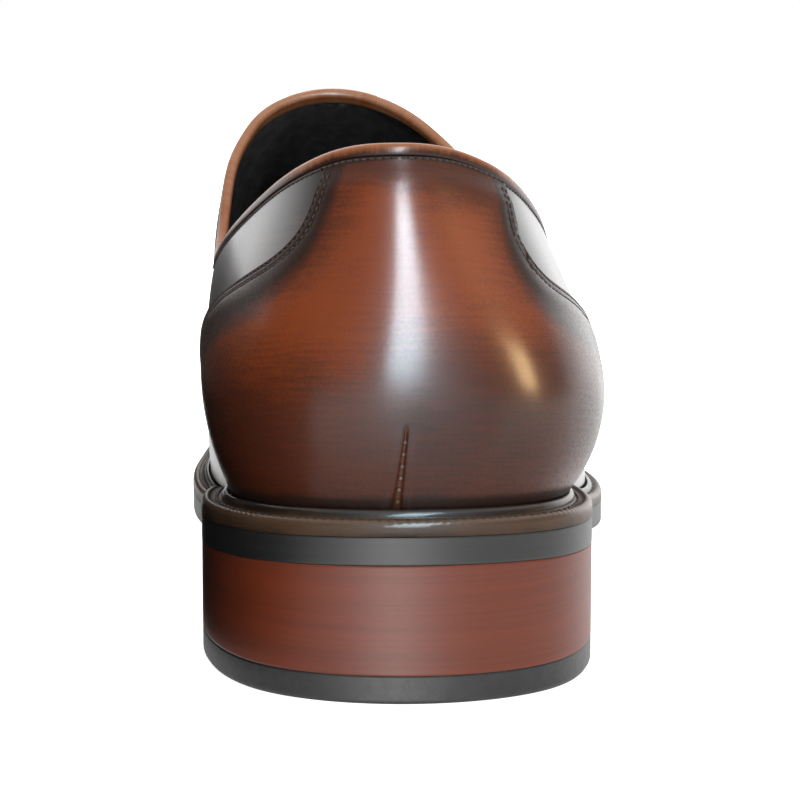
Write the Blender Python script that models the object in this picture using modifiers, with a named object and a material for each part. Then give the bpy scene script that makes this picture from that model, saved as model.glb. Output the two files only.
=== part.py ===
"""Right-foot tassel loafer: a hollow leather upper on a welted sole with a stacked heel.

While a piece is worked out, x runs across the foot (lateral plus, medial minus), station runs forward from
the back of the heel and z runs up from the floor, all in millimetres. place() turns that into the object's
own frame in metres, with its origin on the floor under the middle of the shoe.
"""

import math

import bmesh
import bpy
import numpy as np
from mathutils import Vector
from mathutils.bvhtree import BVHTree

MM = 0.001
MERGE_DISTANCE = 0.00002
SLIVER_LENGTH = 0.00005
DROP_HEIGHT = 0.3

# Driving sizes of the shoe
LENGTH = 300.0
BALL_WIDTH = 96.4
INSTEP_HEIGHT = 98.0
HEEL_HEIGHT = 23.3
TOE_SPRING = 11.0

# Thicknesses and gaps
GAP = 0.3
WALL = 1.6
COUNTER_THICKNESS = 1.0
TOP_LIFT_HEIGHT = 4.8
OUTSOLE_THICKNESS = 4.5
WELT_THICKNESS = 3.4
WELT_REACH = 10.5
INSOLE_THICKNESS = 2.6
INSOLE_CLEARANCE = 1.0
INSOLE_DRAFT = 0.3
HEEL_INSET = 0.2
BINDING_HEIGHT = 1.9
BINDING_WIDTH = 2.1
BINDING_POINTS = 8

# Plan of the sole edge: station as a share of the length, widths from the axis as shares of the ball width
SOLE_OUTLINE_COLUMNS = ("station", "lateral", "medial")
SOLE_OUTLINE = (
    (0.033, 0.266, 0.244),
    (0.100, 0.354, 0.340),
    (0.180, 0.370, 0.355),
    (0.290, 0.374, 0.322),
    (0.390, 0.428, 0.304),
    (0.490, 0.520, 0.333),
    (0.580, 0.580, 0.382),
    (0.670, 0.568, 0.398),
    (0.750, 0.514, 0.380),
    (0.830, 0.430, 0.338),
    (0.900, 0.333, 0.280),
    (0.958, 0.217, 0.196),
    (0.988, 0.122, 0.108),
)
HEEL_TIP_ACROSS = 0.015
TOE_TIP_ACROSS = 0.012

# Side view of the sole's underside: share of the length, share of the heel height, share of the toe spring
SOLE_PROFILE_COLUMNS = ("station", "heel_share", "toe_share")
SOLE_PROFILE = (
    (0.000, 1.000, 0.000),
    (0.120, 0.886, 0.000),
    (0.220, 0.780, 0.000),
    (0.330, 0.470, 0.000),
    (0.440, 0.185, 0.000),
    (0.530, 0.040, 0.000),
    (0.600, 0.000, 0.000),
    (0.720, 0.000, 0.000),
    (0.840, 0.000, 0.270),
    (0.930, 0.000, 0.640),
    (1.000, 0.000, 1.000),
)
HEEL_BREAST = 0.212

# Ledge of the welt outside the leather on each side, in millimetres, and how much of the counter lies on it
LEDGE_COLUMNS = ("station", "lateral", "medial", "cover")
LEDGE = (
    (0.00, 4.3, 4.3, 1.0),
    (0.10, 4.8, 4.7, 1.0),
    (0.18, 4.7, 5.6, 1.0),
    (0.30, 3.4, 4.6, 1.0),
    (0.39, 2.4, 3.0, 1.0),
    (0.47, 2.8, 2.8, 0.0),
    (0.62, 4.2, 4.2, 0.0),
    (0.90, 4.4, 4.4, 0.0),
    (1.00, 4.4, 4.4, 0.0),
)

# Sections of the upper up to the collar: share of the way round from heel to toe, then the leather edge's
# station, widths and height as shares of the length, ball width and instep height, the wall's lean at the top
# and its flare at the welt on each side (degrees), and how full it is low down and high up
COLLAR_COLUMNS = (
    "share", "station", "lateral", "medial", "height",
    "lateral_lean", "medial_lean", "lateral_flare", "medial_flare", "low", "high",
)
COLLAR = (
    (0.000, 0.032, -0.010, 0.010, 0.916, 10, 10, 16, 16, 0.370, 0.340),
    (0.050, 0.045, 0.080, 0.103, 0.907, 12, 9, 22, 18, 0.395, 0.350),
    (0.100, 0.072, 0.170, 0.182, 0.872, 14, 11, 33, 24, 0.420, 0.358),
    (0.150, 0.110, 0.231, 0.236, 0.827, 18, 14, 41, 26.5, 0.445, 0.388),
    (0.200, 0.156, 0.278, 0.282, 0.774, 21.5, 16, 42, 24.5, 0.475, 0.425),
    (0.270, 0.213, 0.307, 0.317, 0.718, 19.7, 15.5, 34.5, 22.5, 0.455, 0.400),
    (0.340, 0.273, 0.316, 0.331, 0.677, 16.5, 12, 21, 17, 0.425, 0.375),
    (0.400, 0.325, 0.300, 0.330, 0.683, 18, 9.3, 9, 12, 0.390, 0.380),
    (0.440, 0.364, 0.264, 0.322, 0.748, 22, 10.5, 4, 8, 0.315, 0.357),
    (0.475, 0.389, 0.214, 0.308, 0.834, 31, 15.3, 1, 5, 0.243, 0.331),
    (0.505, 0.411, 0.150, 0.275, 0.905, 47, 27.6, 0, 5, 0.240, 0.267),
    (0.530, 0.428, 0.050, 0.201, 0.972, 65, 48, 0, 5, 0.267, 0.211),
    (0.542, 0.435, -0.024, 0.131, 0.995, 78, 68, 0, 5, 0.262, 0.213),
    (0.550, 0.437, -0.078, 0.078, 1.000, 90, 90, 0, 6, 0.280, 0.203),
)

# Sections of the vamp from the throat to the toe, meeting along the ridge
RIDGE_COLUMNS = ("share", "station", "across", "height", "lateral_flare", "medial_flare", "low", "high")
RIDGE = (
    (0.550, 0.437, -0.078, 1.000, 0, 6, 0.280, 0.203),
    (0.620, 0.512, -0.066, 0.853, 2, 6, 0.29, 0.26),
    (0.690, 0.597, -0.046, 0.688, 5, 8, 0.31, 0.33),
    (0.760, 0.690, -0.024, 0.552, 8, 10, 0.34, 0.40),
    (0.830, 0.790, -0.004, 0.466, 12, 13, 0.38, 0.44),
    (0.880, 0.867, 0.008, 0.418, 15, 16, 0.42, 0.48),
    (0.915, 0.918, 0.012, 0.378, 18, 18, 0.45, 0.52),
)
THROAT_SHARE = 0.550
TOE_POLE_SHARE = 0.915
HEEL_CENTRE_STATION = 0.125

# Upper edge of the counter on each side: where its column starts at the welt, where it ends round the shoe,
# both as shares of the way round, and the height it ends at as a share of the wall there
COUNTER_COLUMNS = ("base", "lateral_share", "lateral_rise", "medial_share", "medial_rise")
COUNTER = (
    (0.000, 0.000, 0.985, 0.000, 0.985),
    (0.030, 0.054, 0.985, 0.034, 0.985),
    (0.060, 0.108, 0.985, 0.067, 0.985),
    (0.075, 0.103, 0.910, 0.072, 0.925),
    (0.090, 0.100, 0.820, 0.079, 0.850),
    (0.105, 0.105, 0.755, 0.090, 0.800),
    (0.125, 0.119, 0.712, 0.109, 0.764),
    (0.150, 0.146, 0.694, 0.141, 0.742),
    (0.190, 0.190, 0.676, 0.190, 0.726),
    (0.240, 0.240, 0.620, 0.240, 0.670),
    (0.285, 0.285, 0.500, 0.285, 0.540),
    (0.325, 0.325, 0.320, 0.325, 0.340),
    (0.350, 0.350, 0.150, 0.350, 0.150),
    (0.366, 0.366, 0.020, 0.366, 0.020),
)

# Columns of the upper and of the counter: where each run round one side ends, and how many steps it has
COLUMN_RUNS = (
    (0.425, 17),
    (THROAT_SHARE, 9),
    (TOE_POLE_SHARE, 11),
    (1.000, 5),
)
COLLAR_RUNS = COLUMN_RUNS[:2]
WALL_ROWS = 10
COUNTER_RUNS = (
    (0.060, 4),
    (0.150, 12),
    (0.366, 9),
)
COUNTER_ROWS = 9

# Lean of the wall, in degrees, from which the bead turns to face up the ridge, and over how many it does so
BEAD_TURN_START = 15.0
BEAD_TURN_SPAN = 60.0

# Points along each side of the sole edge, and steps of the pieces that run round it
SOLE_EDGE_POINTS = 700
PLATE_POINTS = 45
HEEL_PLATE_POINTS = 15
WELT_STEPS = 46

# Edge of the outsole: whether the height is measured from its bottom or its top, the inset, and the rise
OUTSOLE_SECTION = (
    ("bottom", 0.8, 0.0),
    ("bottom", 0.2, 0.6),
    ("top", 0.2, -0.5),
    ("top", 0.5, 0.0),
)

# Edge of the top lift: inset and height above the floor
LIFT_SECTION = (
    (0.6, 0.0),
    (HEEL_INSET, 0.5),
    (HEEL_INSET, TOP_LIFT_HEIGHT),
)

# Section of the welt from its outer foot over the rim, the groove and the bead to its hidden root: what the
# distance is measured from, the distance, and the rise above the welt's underside
WELT_SECTION = (
    ("edge", 0.35, 0.0),
    ("edge", 0.0, 0.5),
    ("edge", 0.0, 2.2),
    ("edge", 0.4, 3.2),
    ("edge", 1.1, 3.55),
    ("edge", 1.7, 3.2),
    ("leather", 1.45, 3.2),
    ("leather", 1.2, 3.9),
    ("leather", 0.75, 4.05),
    ("leather", 0.4, 3.4),
    ("reach", 0.0, WELT_THICKNESS),
    ("reach", 0.0, 0.0),
)

# Tassels: radius along each tassel, from its thong through its head to the ends of the strips
TASSEL_COLUMNS = ("along", "radius", "strips")
TASSEL = (
    (0.00, 1.2, 0.0),
    (0.12, 1.3, 0.0),
    (0.15, 2.7, 0.0),
    (0.20, 4.0, 0.0),
    (0.28, 4.5, 0.0),
    (0.36, 4.1, 0.0),
    (0.40, 3.4, 0.1),
    (0.45, 4.0, 0.5),
    (0.62, 5.0, 0.9),
    (0.82, 5.8, 1.0),
    (1.00, 6.2, 1.0),
)
TASSEL_LENGTH = 39.0
TASSEL_SPREAD = 21.0
TASSEL_STRIPS = 9
TASSEL_CLEARANCE = 0.7
TASSEL_FALL = 30.0
TASSEL_START_ACROSS = 2.2
TASSEL_START_GAP = 0.4
STRIP_POINTS = 4
STRIP_GROOVE = 0.16
SKIRT_FLATTEN = 0.22
SKIRT_WIDEN = 0.18
TIE_STATION = 0.492
TIE_ACROSS = -6.6
TIE_HALF_WIDTH = 17.0
TIE_STRAP_WIDTH = 5.0
TIE_STRAP_THICKNESS = 1.8
KNOT_EXTRA = 1.8
TIE_CLEARANCE = 1.0
TIE_POINTS = 12
TIE_ROWS = (-1.0, -0.96, -0.6, -0.34, -0.26, -0.16, 0.0, 0.16, 0.26, 0.34, 0.6, 0.96, 1.0)
TIE_TIP = 0.55
TIE_SQUARENESS = 0.6
KNOT_SHARE = 0.3


def column(rows, names, name):
    """One named column of a table."""
    return np.array([row[names.index(name)] for row in rows], dtype=float)


def curve_through(knots, values, at):
    """Natural cubic curve through the rows, read at the given places."""
    knots = np.asarray(knots, dtype=float)
    values = np.asarray(values, dtype=float)
    at = np.asarray(at, dtype=float)
    step = np.diff(knots)
    count = len(knots)
    system = np.eye(count)
    load = np.zeros(count)
    for i in range(1, count - 1):
        system[i, i - 1] = step[i - 1]
        system[i, i] = 2.0 * (step[i - 1] + step[i])
        system[i, i + 1] = step[i]
        load[i] = 6.0 * ((values[i + 1] - values[i]) / step[i] - (values[i] - values[i - 1]) / step[i - 1])
    bend = np.linalg.solve(system, load)
    i = np.clip(np.searchsorted(knots, at, side="right") - 1, 0, count - 2)
    after = (at - knots[i]) / step[i]
    before = 1.0 - after
    straight = before * values[i] + after * values[i + 1]
    curved = (before**3 - before) * bend[i] + (after**3 - after) * bend[i + 1]
    return straight + curved * step[i] ** 2 / 6.0


def steady_curve(knots, values, at):
    """Curve through the rows that never swings past them, so a flat run stays flat."""
    knots = np.asarray(knots, dtype=float)
    values = np.asarray(values, dtype=float)
    at = np.clip(np.asarray(at, dtype=float), knots[0], knots[-1])
    step = np.diff(knots)
    rate = np.diff(values) / step
    slope = np.zeros(len(knots))
    slope[0] = rate[0]
    slope[-1] = rate[-1]
    for i in range(1, len(knots) - 1):
        if rate[i - 1] * rate[i] > 0.0:
            slope[i] = 2.0 * rate[i - 1] * rate[i] / (rate[i - 1] + rate[i])
    i = np.clip(np.searchsorted(knots, at, side="right") - 1, 0, len(knots) - 2)
    t = (at - knots[i]) / step[i]
    start = (1 + 2 * t) * (1 - t) ** 2 * values[i] + t * (1 - t) ** 2 * step[i] * slope[i]
    end = t**2 * (3 - 2 * t) * values[i + 1] + t**2 * (t - 1) * step[i] * slope[i + 1]
    return start + end


def sole_sides():
    """The sole edge as two dense runs of plan points, lateral and medial, each from heel tip to toe tip."""
    station = column(SOLE_OUTLINE, SOLE_OUTLINE_COLUMNS, "station") * LENGTH
    lateral = column(SOLE_OUTLINE, SOLE_OUTLINE_COLUMNS, "lateral") * BALL_WIDTH
    medial = column(SOLE_OUTLINE, SOLE_OUTLINE_COLUMNS, "medial") * BALL_WIDTH
    heel_tip = np.array([[HEEL_TIP_ACROSS * BALL_WIDTH, 0.0]])
    toe_tip = np.array([[TOE_TIP_ACROSS * BALL_WIDTH, LENGTH]])
    lateral_run = np.column_stack([lateral, station])
    medial_run = np.column_stack([-medial, station])[::-1]
    loop = np.vstack([heel_tip, lateral_run, toe_tip, medial_run])
    count = len(loop)
    wrapped = np.vstack([loop[-4:], loop, loop[:5]])
    along = np.concatenate([[0.0], np.cumsum(np.linalg.norm(np.diff(wrapped, axis=0), axis=1))])
    heel_at = along[4]
    toe_at = along[4 + len(lateral_run) + 1]
    end_at = along[4 + count]
    runs = []
    for begin, end in ((heel_at, toe_at), (end_at, toe_at)):
        at = np.linspace(begin, end, SOLE_EDGE_POINTS)
        across = curve_through(along, wrapped[:, 0], at)
        forward = curve_through(along, wrapped[:, 1], at)
        runs.append(np.column_stack([across, forward]))
    return {"lateral": runs[0], "medial": runs[1]}


SIDES = sole_sides()
SIDE_SIGN = {"lateral": 1.0, "medial": -1.0}


def sole_edge(side, share, inset):
    """Plan points of one side of the sole, moved inwards, at shares of the way from heel tip to toe tip."""
    run = SIDES[side]
    way = np.gradient(run, axis=0)
    way /= np.linalg.norm(way, axis=1)[:, None]
    inwards = np.column_stack([-way[:, 1], way[:, 0]]) * SIDE_SIGN[side]
    depth = inset(run[:, 1] / LENGTH, side) if callable(inset) else np.full(len(run), float(inset))
    moved = run + inwards * depth[:, None]
    moved[0] = (run[0, 0], depth[0])
    moved[-1] = (run[-1, 0], LENGTH - depth[-1])
    length = np.concatenate([[0.0], np.cumsum(np.linalg.norm(np.diff(run, axis=0), axis=1))])
    at = np.asarray(share) * length[-1]
    across = np.interp(at, length, moved[:, 0])
    forward = np.interp(at, length, moved[:, 1])
    return np.column_stack([across, forward])


def underside(forward):
    """Height of the outsole's underside at a station."""
    station = column(SOLE_PROFILE, SOLE_PROFILE_COLUMNS, "station")
    heel = column(SOLE_PROFILE, SOLE_PROFILE_COLUMNS, "heel_share") * HEEL_HEIGHT
    toe = column(SOLE_PROFILE, SOLE_PROFILE_COLUMNS, "toe_share") * TOE_SPRING
    return steady_curve(station, heel + toe, np.asarray(forward) / LENGTH)


def welt_bottom(forward):
    """Height of the welt's underside."""
    return underside(forward) + OUTSOLE_THICKNESS + GAP


def seat(forward):
    """Height of the welt's flat top, where the upper and the insole rest."""
    return welt_bottom(forward) + WELT_THICKNESS


def ledge(station, side):
    """Width of the welt outside the leather, at a share of the length."""
    knots = column(LEDGE, LEDGE_COLUMNS, "station")
    return steady_curve(knots, column(LEDGE, LEDGE_COLUMNS, side), station)


def feather(station, side):
    """Inset of the upper's lower edge from the sole edge, at a share of the length."""
    knots = column(LEDGE, LEDGE_COLUMNS, "station")
    cover = steady_curve(knots, column(LEDGE, LEDGE_COLUMNS, "cover"), station)
    return ledge(station, side) + cover * (COUNTER_THICKNESS + 2.0 * GAP)


def collar_loop(name, signed):
    """A column of the collar rows as one closed run, from throat to throat through the heel, wrapped."""
    share = column(COLLAR, COLLAR_COLUMNS, "share")
    lateral = column(COLLAR, COLLAR_COLUMNS, "lateral" if signed else name)
    medial = -column(COLLAR, COLLAR_COLUMNS, "medial") if signed else lateral
    knots = np.concatenate([-share[:0:-1], share])
    values = np.concatenate([medial[:0:-1], lateral])
    turn = 2.0 * THROAT_SHARE
    knots = np.concatenate([knots[-5:-1] - turn, knots, knots[1:5] + turn])
    values = np.concatenate([values[-5:-1], values, values[1:5]])
    return knots, values


def topline(share, side):
    """Top point of each section and the wall's lean there."""
    ridge = {name: column(RIDGE, RIDGE_COLUMNS, name) for name in RIDGE_COLUMNS}
    open_part = np.minimum(share, THROAT_SHARE)
    closed_part = np.clip(share, THROAT_SHARE, TOE_POLE_SHARE)
    on_collar = share <= THROAT_SHARE
    round_loop = open_part * SIDE_SIGN[side]
    across_open = curve_through(*collar_loop("lateral", True), round_loop)
    across_closed = curve_through(ridge["share"], ridge["across"], closed_part)
    across = np.where(on_collar, across_open, across_closed) * BALL_WIDTH
    forward_open = curve_through(*collar_loop("station", False), round_loop)
    forward_closed = curve_through(ridge["share"], ridge["station"], closed_part)
    forward = np.where(on_collar, forward_open, forward_closed) * LENGTH
    height_open = curve_through(*collar_loop("height", False), round_loop)
    height_closed = curve_through(ridge["share"], ridge["height"], closed_part)
    height = np.where(on_collar, height_open, height_closed) * INSTEP_HEIGHT
    share_rows = column(COLLAR, COLLAR_COLUMNS, "share")
    lean_rows = column(COLLAR, COLLAR_COLUMNS, side + "_lean")
    lean = np.where(on_collar, steady_curve(*level_start(share_rows, lean_rows), open_part), 90.0)
    return np.column_stack([across, forward, height]), np.radians(lean)


def level_start(knots, rows):
    """Rows with the second one mirrored before the first, so that a curve through them starts level."""
    return np.append(-knots[1], knots), np.append(rows[1], rows)


def shape_value(share, name):
    """A section's flare or fullness, read from the collar rows and then the ridge rows."""
    knots = np.append(column(COLLAR, COLLAR_COLUMNS, "share"), column(RIDGE, RIDGE_COLUMNS, "share")[1:])
    rows = np.append(column(COLLAR, COLLAR_COLUMNS, name), column(RIDGE, RIDGE_COLUMNS, name)[1:])
    return steady_curve(*level_start(knots, rows), share)


def ridge_slope(share):
    """Angle at which the ridge falls towards the toe."""
    knots = column(RIDGE, RIDGE_COLUMNS, "share")
    nudge = 0.0005
    at = np.clip(share, THROAT_SHARE + 2.0 * nudge, TOE_POLE_SHARE - 2.0 * nudge)
    height = column(RIDGE, RIDGE_COLUMNS, "height") * INSTEP_HEIGHT
    forward = column(RIDGE, RIDGE_COLUMNS, "station") * LENGTH
    fall = curve_through(knots, height, at - nudge) - curve_through(knots, height, at + nudge)
    run = curve_through(knots, forward, at + nudge) - curve_through(knots, forward, at - nudge)
    return np.arctan2(fall, run)


def sections(share, side):
    """The four control points of each section of the upper, from the welt to the top of the leather."""
    share = np.asarray(share, dtype=float)
    foot_plan = sole_edge(side, share, feather)
    foot = np.column_stack([foot_plan, seat(foot_plan[:, 1]) + GAP])
    top, lean = topline(share, side)
    pole_station = RIDGE[-1][1] * LENGTH
    spine = np.clip(foot[:, 1], HEEL_CENTRE_STATION * LENGTH, pole_station)
    spine_across = np.where(foot[:, 1] > pole_station, RIDGE[-1][2] * BALL_WIDTH, 0.0)
    away = np.column_stack([foot[:, 0] - spine_across, foot[:, 1] - spine])
    mid_part = (foot[:, 1] > HEEL_CENTRE_STATION * LENGTH) & (foot[:, 1] < pole_station)
    away[mid_part] = (SIDE_SIGN[side], 0.0)
    away /= np.linalg.norm(away, axis=1)[:, None]
    up = np.array([0.0, 0.0, 1.0])
    outwards = np.column_stack([away, np.zeros(len(share))])
    on_ridge = share > THROAT_SHARE
    fall = np.where(on_ridge, ridge_slope(share), 0.0)
    tipped = np.column_stack([away[:, 0], away[:, 1] * np.cos(fall), -away[:, 1] * np.sin(fall)])
    arrive = -tipped * np.sin(lean)[:, None] + up * np.cos(lean)[:, None]
    chord = np.linalg.norm(top - foot, axis=1)
    flare = np.radians(shape_value(share, side + "_flare"))
    rise = outwards * np.sin(flare)[:, None] + up * np.cos(flare)[:, None]
    low = foot + rise * (shape_value(share, "low") * chord)[:, None]
    high = top - arrive * (shape_value(share, "high") * chord)[:, None]
    return foot, low, high, top


def wall_points(share, side, rise):
    """Points of the upper's outer face: one row per rise, one column per share."""
    foot, low, high, top = sections(share, side)
    rows = []
    for t in np.atleast_2d(rise):
        t = np.broadcast_to(t, (len(foot),))[:, None]
        rows.append((1 - t) ** 3 * foot + 3 * (1 - t) ** 2 * t * low + 3 * (1 - t) * t**2 * high + t**3 * top)
    return np.array(rows)


def place(points):
    """Millimetres on the shoe's axis to metres in the object's frame."""
    points = np.asarray(points, dtype=float)
    middle = 0.5 * (SIDES["lateral"][:, 0].max() + SIDES["medial"][:, 0].min())
    return (points - np.array([middle, 0.5 * LENGTH, 0.0])) * MM


def new_material(name, colour, roughness):
    """A plain Principled material."""
    material = bpy.data.materials.new(name)
    material.use_nodes = True
    shader = material.node_tree.nodes["Principled BSDF"]
    shader.inputs["Base Color"].default_value = (*colour, 1.0)
    shader.inputs["Roughness"].default_value = roughness
    return material


def new_object(name, vertices, faces, material):
    """A mesh object in the part's collection, its coincident points merged and its faces turned outwards."""
    mesh = bpy.data.meshes.new(name)
    mesh.from_pydata([tuple(point) for point in vertices], [], faces)
    shell = bmesh.new()
    shell.from_mesh(mesh)
    bmesh.ops.remove_doubles(shell, verts=shell.verts, dist=MERGE_DISTANCE)
    bmesh.ops.recalc_face_normals(shell, faces=shell.faces)
    shell.to_mesh(mesh)
    shell.free()
    mesh.materials.append(material)
    item = bpy.data.objects.new(name, mesh)
    PART.objects.link(item)
    return item


def ring_faces(rings, size, closed):
    """Quads between neighbouring rings of equal size, round each ring and, when closed, back to the first."""
    faces = []
    last = rings if closed else rings - 1
    for i in range(last):
        j = (i + 1) % rings
        for k in range(size):
            m = (k + 1) % size
            faces.append((i * size + k, j * size + k, j * size + m, i * size + m))
    return faces


def swept_plate(name, shares, end_share, profile, material):
    """A plate whose edge profile runs round the sole edge: rows of (inset, height at a station)."""
    share = np.asarray(shares) * end_share
    vertices = []
    count = len(share)
    for inset, height in profile:
        for side in ("lateral", "medial"):
            plan = sole_edge(side, share, inset)
            if end_share < 1.0:
                plan[-1, 1] = HEEL_BREAST * LENGTH
            vertices.append(np.column_stack([plan, height(plan[:, 1])]))
    vertices = np.vstack(vertices)
    faces = []
    loop = list(range(count)) + [count + i for i in range(count - 1, -1, -1)]
    rows = len(profile)
    for row in range(rows - 1):
        for i, here in enumerate(loop):
            after = loop[(i + 1) % len(loop)]
            base = row * 2 * count
            above = base + 2 * count
            faces.append((base + here, base + after, above + after, above + here))
    for row in (0, rows - 1):
        base = row * 2 * count
        for i in range(count - 1):
            faces.append((base + i, base + i + 1, base + count + i + 1, base + count + i))
    return new_object(name, place(vertices), faces, material)


def share_of_station(station):
    """Share of the way round the lateral side at which a station is reached."""
    run = SIDES["lateral"]
    length = np.concatenate([[0.0], np.cumsum(np.linalg.norm(np.diff(run, axis=0), axis=1))])
    return float(np.interp(station * LENGTH, np.maximum.accumulate(run[:, 1]), length / length[-1]))


def spread(runs):
    """Shares of the way round, from the back of the heel, evenly spread over each run."""
    shares = [0.0]
    for end, steps in runs:
        shares += list(np.linspace(shares[-1], end, steps + 1)[1:])
    return np.array(shares)


def build_upper(material):
    """The hollow shell: an open skin over the last, thickened inwards."""
    share = spread(COLUMN_RUNS)
    rise = np.linspace(0.0, 1.0, WALL_ROWS + 1)[:, None]
    lateral = wall_points(share, "lateral", rise)
    medial = wall_points(share, "medial", rise)
    around = np.concatenate([lateral, medial[:, -2:0:-1]], axis=1)
    rows, columns = around.shape[:2]
    skin = new_object("upper", place(around.reshape(-1, 3)), ring_faces(rows, columns, False), material)
    shell = bmesh.new()
    shell.from_mesh(skin.data)
    bmesh.ops.dissolve_degenerate(shell, edges=shell.edges, dist=SLIVER_LENGTH)
    bmesh.ops.recalc_face_normals(shell, faces=shell.faces)
    shell.to_mesh(skin.data)
    shell.free()
    wall = skin.modifiers.new("wall", "SOLIDIFY")
    wall.thickness = WALL * MM
    wall.offset = -1.0
    wall.use_even_offset = True
    return skin


def skin_normals(grid):
    """Outward normals of a grid of points, rows up the wall and columns round it."""
    round_way = np.gradient(grid, axis=1)
    up_way = np.gradient(grid, axis=0)
    normal = np.cross(round_way, up_way)
    return normal / np.linalg.norm(normal, axis=2)[:, :, None]


def counter_patch(side, base, rows):
    """Points of the upper's outer face under one half of the counter."""
    knots = column(COUNTER, COUNTER_COLUMNS, "base")
    edge_share = steady_curve(knots, column(COUNTER, COUNTER_COLUMNS, side + "_share"), base)
    edge_rise = steady_curve(knots, column(COUNTER, COUNTER_COLUMNS, side + "_rise"), base)
    grid = []
    for step in np.linspace(0.0, 1.0, rows):
        share = base + (edge_share - base) * step
        grid.append(wall_points(share, side, (edge_rise * step)[None, :])[0])
    return np.array(grid)


def build_counter(material):
    """The overlay round the heel: a patch of the upper's own face, lifted clear and thickened outwards."""
    base = spread(COUNTER_RUNS)
    lateral = counter_patch("lateral", base, COUNTER_ROWS)
    medial = counter_patch("medial", base, COUNTER_ROWS)
    patch = np.concatenate([medial[:, :0:-1], lateral], axis=1)
    normal = skin_normals(patch)
    inner = patch + normal * GAP
    outer = patch + normal * (GAP + COUNTER_THICKNESS)
    floor = seat(outer[0, :, 1]) + GAP
    outer[0, :, 2] = np.maximum(outer[0, :, 2], floor)
    rows, columns = patch.shape[:2]
    size = rows * columns
    vertices = np.vstack([inner.reshape(-1, 3), outer.reshape(-1, 3)])
    faces = []
    for i in range(rows - 1):
        for k in range(columns - 1):
            a = i * columns + k
            faces.append((a, a + columns, a + columns + 1, a + 1))
            faces.append((size + a, size + a + 1, size + a + columns + 1, size + a + columns))
    border = [k for k in range(columns)]
    border += [i * columns + columns - 1 for i in range(1, rows)]
    border += [(rows - 1) * columns + k for k in range(columns - 2, -1, -1)]
    border += [i * columns for i in range(rows - 2, 0, -1)]
    for i, here in enumerate(border):
        after = border[(i + 1) % len(border)]
        faces.append((here, after, size + after, size + here))
    return new_object("heel_counter", place(vertices), faces, material)


def collar_rim(share):
    """Leather edge of the whole collar, with its way out of the leather and its way inwards."""
    top_run = []
    out_run = []
    slope = float(ridge_slope(np.array([THROAT_SHARE]))[0])
    up_ridge = np.array([0.0, -math.cos(slope), math.sin(slope)])
    for side in ("lateral", "medial"):
        _, lean = topline(share, side)
        _, _, high, top = sections(share, side)
        arrive = top - high
        arrive /= np.linalg.norm(arrive, axis=1)[:, None]
        turn = np.clip((np.degrees(lean) - BEAD_TURN_START) / BEAD_TURN_SPAN, 0.0, 1.0)[:, None]
        top_run.append(top)
        out_run.append(arrive * (1.0 - turn) + up_ridge * turn)
    top = np.vstack([top_run[0], top_run[1][-2:0:-1]])
    out = np.vstack([out_run[0], out_run[1][-2:0:-1]])
    way = np.roll(top, -1, axis=0) - np.roll(top, 1, axis=0)
    way /= np.linalg.norm(way, axis=1)[:, None]
    out -= way * np.sum(out * way, axis=1)[:, None]
    out /= np.linalg.norm(out, axis=1)[:, None]
    inwards = np.cross(out, way)
    return top, out, inwards


def build_binding(material):
    """The rolled bead along the topline, seated just above the leather edge."""
    top, out, inwards = collar_rim(spread(COLLAR_RUNS))
    centre = top + out * (GAP + 0.5 * BINDING_HEIGHT) + inwards * (0.5 * WALL)
    vertices = []
    for i in range(len(centre)):
        for k in range(BINDING_POINTS):
            turn = 2.0 * math.pi * k / BINDING_POINTS
            across = 0.5 * BINDING_WIDTH * math.cos(turn)
            rise = 0.5 * BINDING_HEIGHT * math.sin(turn)
            vertices.append(centre[i] + inwards[i] * across + out[i] * rise)
    faces = ring_faces(len(centre), BINDING_POINTS, True)
    return new_object("collar_binding", place(vertices), faces, material)


def build_welt(material):
    """The strip round the shoe: rounded rim, stitch groove and bead, reaching in under the upper."""
    share = np.linspace(0.0, 1.0, WELT_STEPS + 1)
    rings = []
    for kind, across, rise in WELT_SECTION:
        if kind == "edge":
            inset = across
        elif kind == "leather":
            inset = lambda station, side, out=across: ledge(station, side) - out
        else:
            inset = WELT_REACH
        sides = []
        for side in ("lateral", "medial"):
            plan = sole_edge(side, share, inset)
            sides.append(np.column_stack([plan, welt_bottom(plan[:, 1]) + rise]))
        rings.append(np.vstack([sides[0], sides[1][-2:0:-1]]))
    stacked = np.stack(rings, axis=1)
    steps, size = stacked.shape[:2]
    return new_object("welt", place(stacked.reshape(-1, 3)), ring_faces(steps, size, True), material)


def build_sole_plates(materials):
    """Outsole, insole, heel stack and top lift, all run round the same sole edge."""
    full = np.linspace(0.0, 1.0, PLATE_POINTS)
    outsole = []
    for kind, inset, rise in OUTSOLE_SECTION:
        lift = rise if kind == "bottom" else rise + OUTSOLE_THICKNESS
        outsole.append((inset, lambda forward, lift=lift: underside(forward) + lift))
    swept_plate("outsole", full, 1.0, outsole, materials["outsole"])
    inside = lambda station, side: feather(station, side) + WALL + INSOLE_CLEARANCE
    insole = (
        (inside, lambda forward: seat(forward) + GAP),
        (lambda station, side: inside(station, side) - INSOLE_DRAFT,
         lambda forward: seat(forward) + GAP + INSOLE_THICKNESS),
    )
    swept_plate("insole", full, 1.0, insole, materials["insole"])
    end = share_of_station(HEEL_BREAST)
    half = np.linspace(0.0, 1.0, HEEL_PLATE_POINTS)
    stack = (
        (HEEL_INSET, lambda forward: np.full(len(forward), TOP_LIFT_HEIGHT + GAP)),
        (HEEL_INSET, lambda forward: underside(forward) - GAP),
    )
    swept_plate("heel_stack", half, end, stack, materials["stack"])
    lift_rows = []
    for inset, height in LIFT_SECTION:
        lift_rows.append((inset, lambda forward, height=height: np.full(len(forward), height)))
    swept_plate("heel_top_lift", half, end, lift_rows, materials["lift"])


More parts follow.
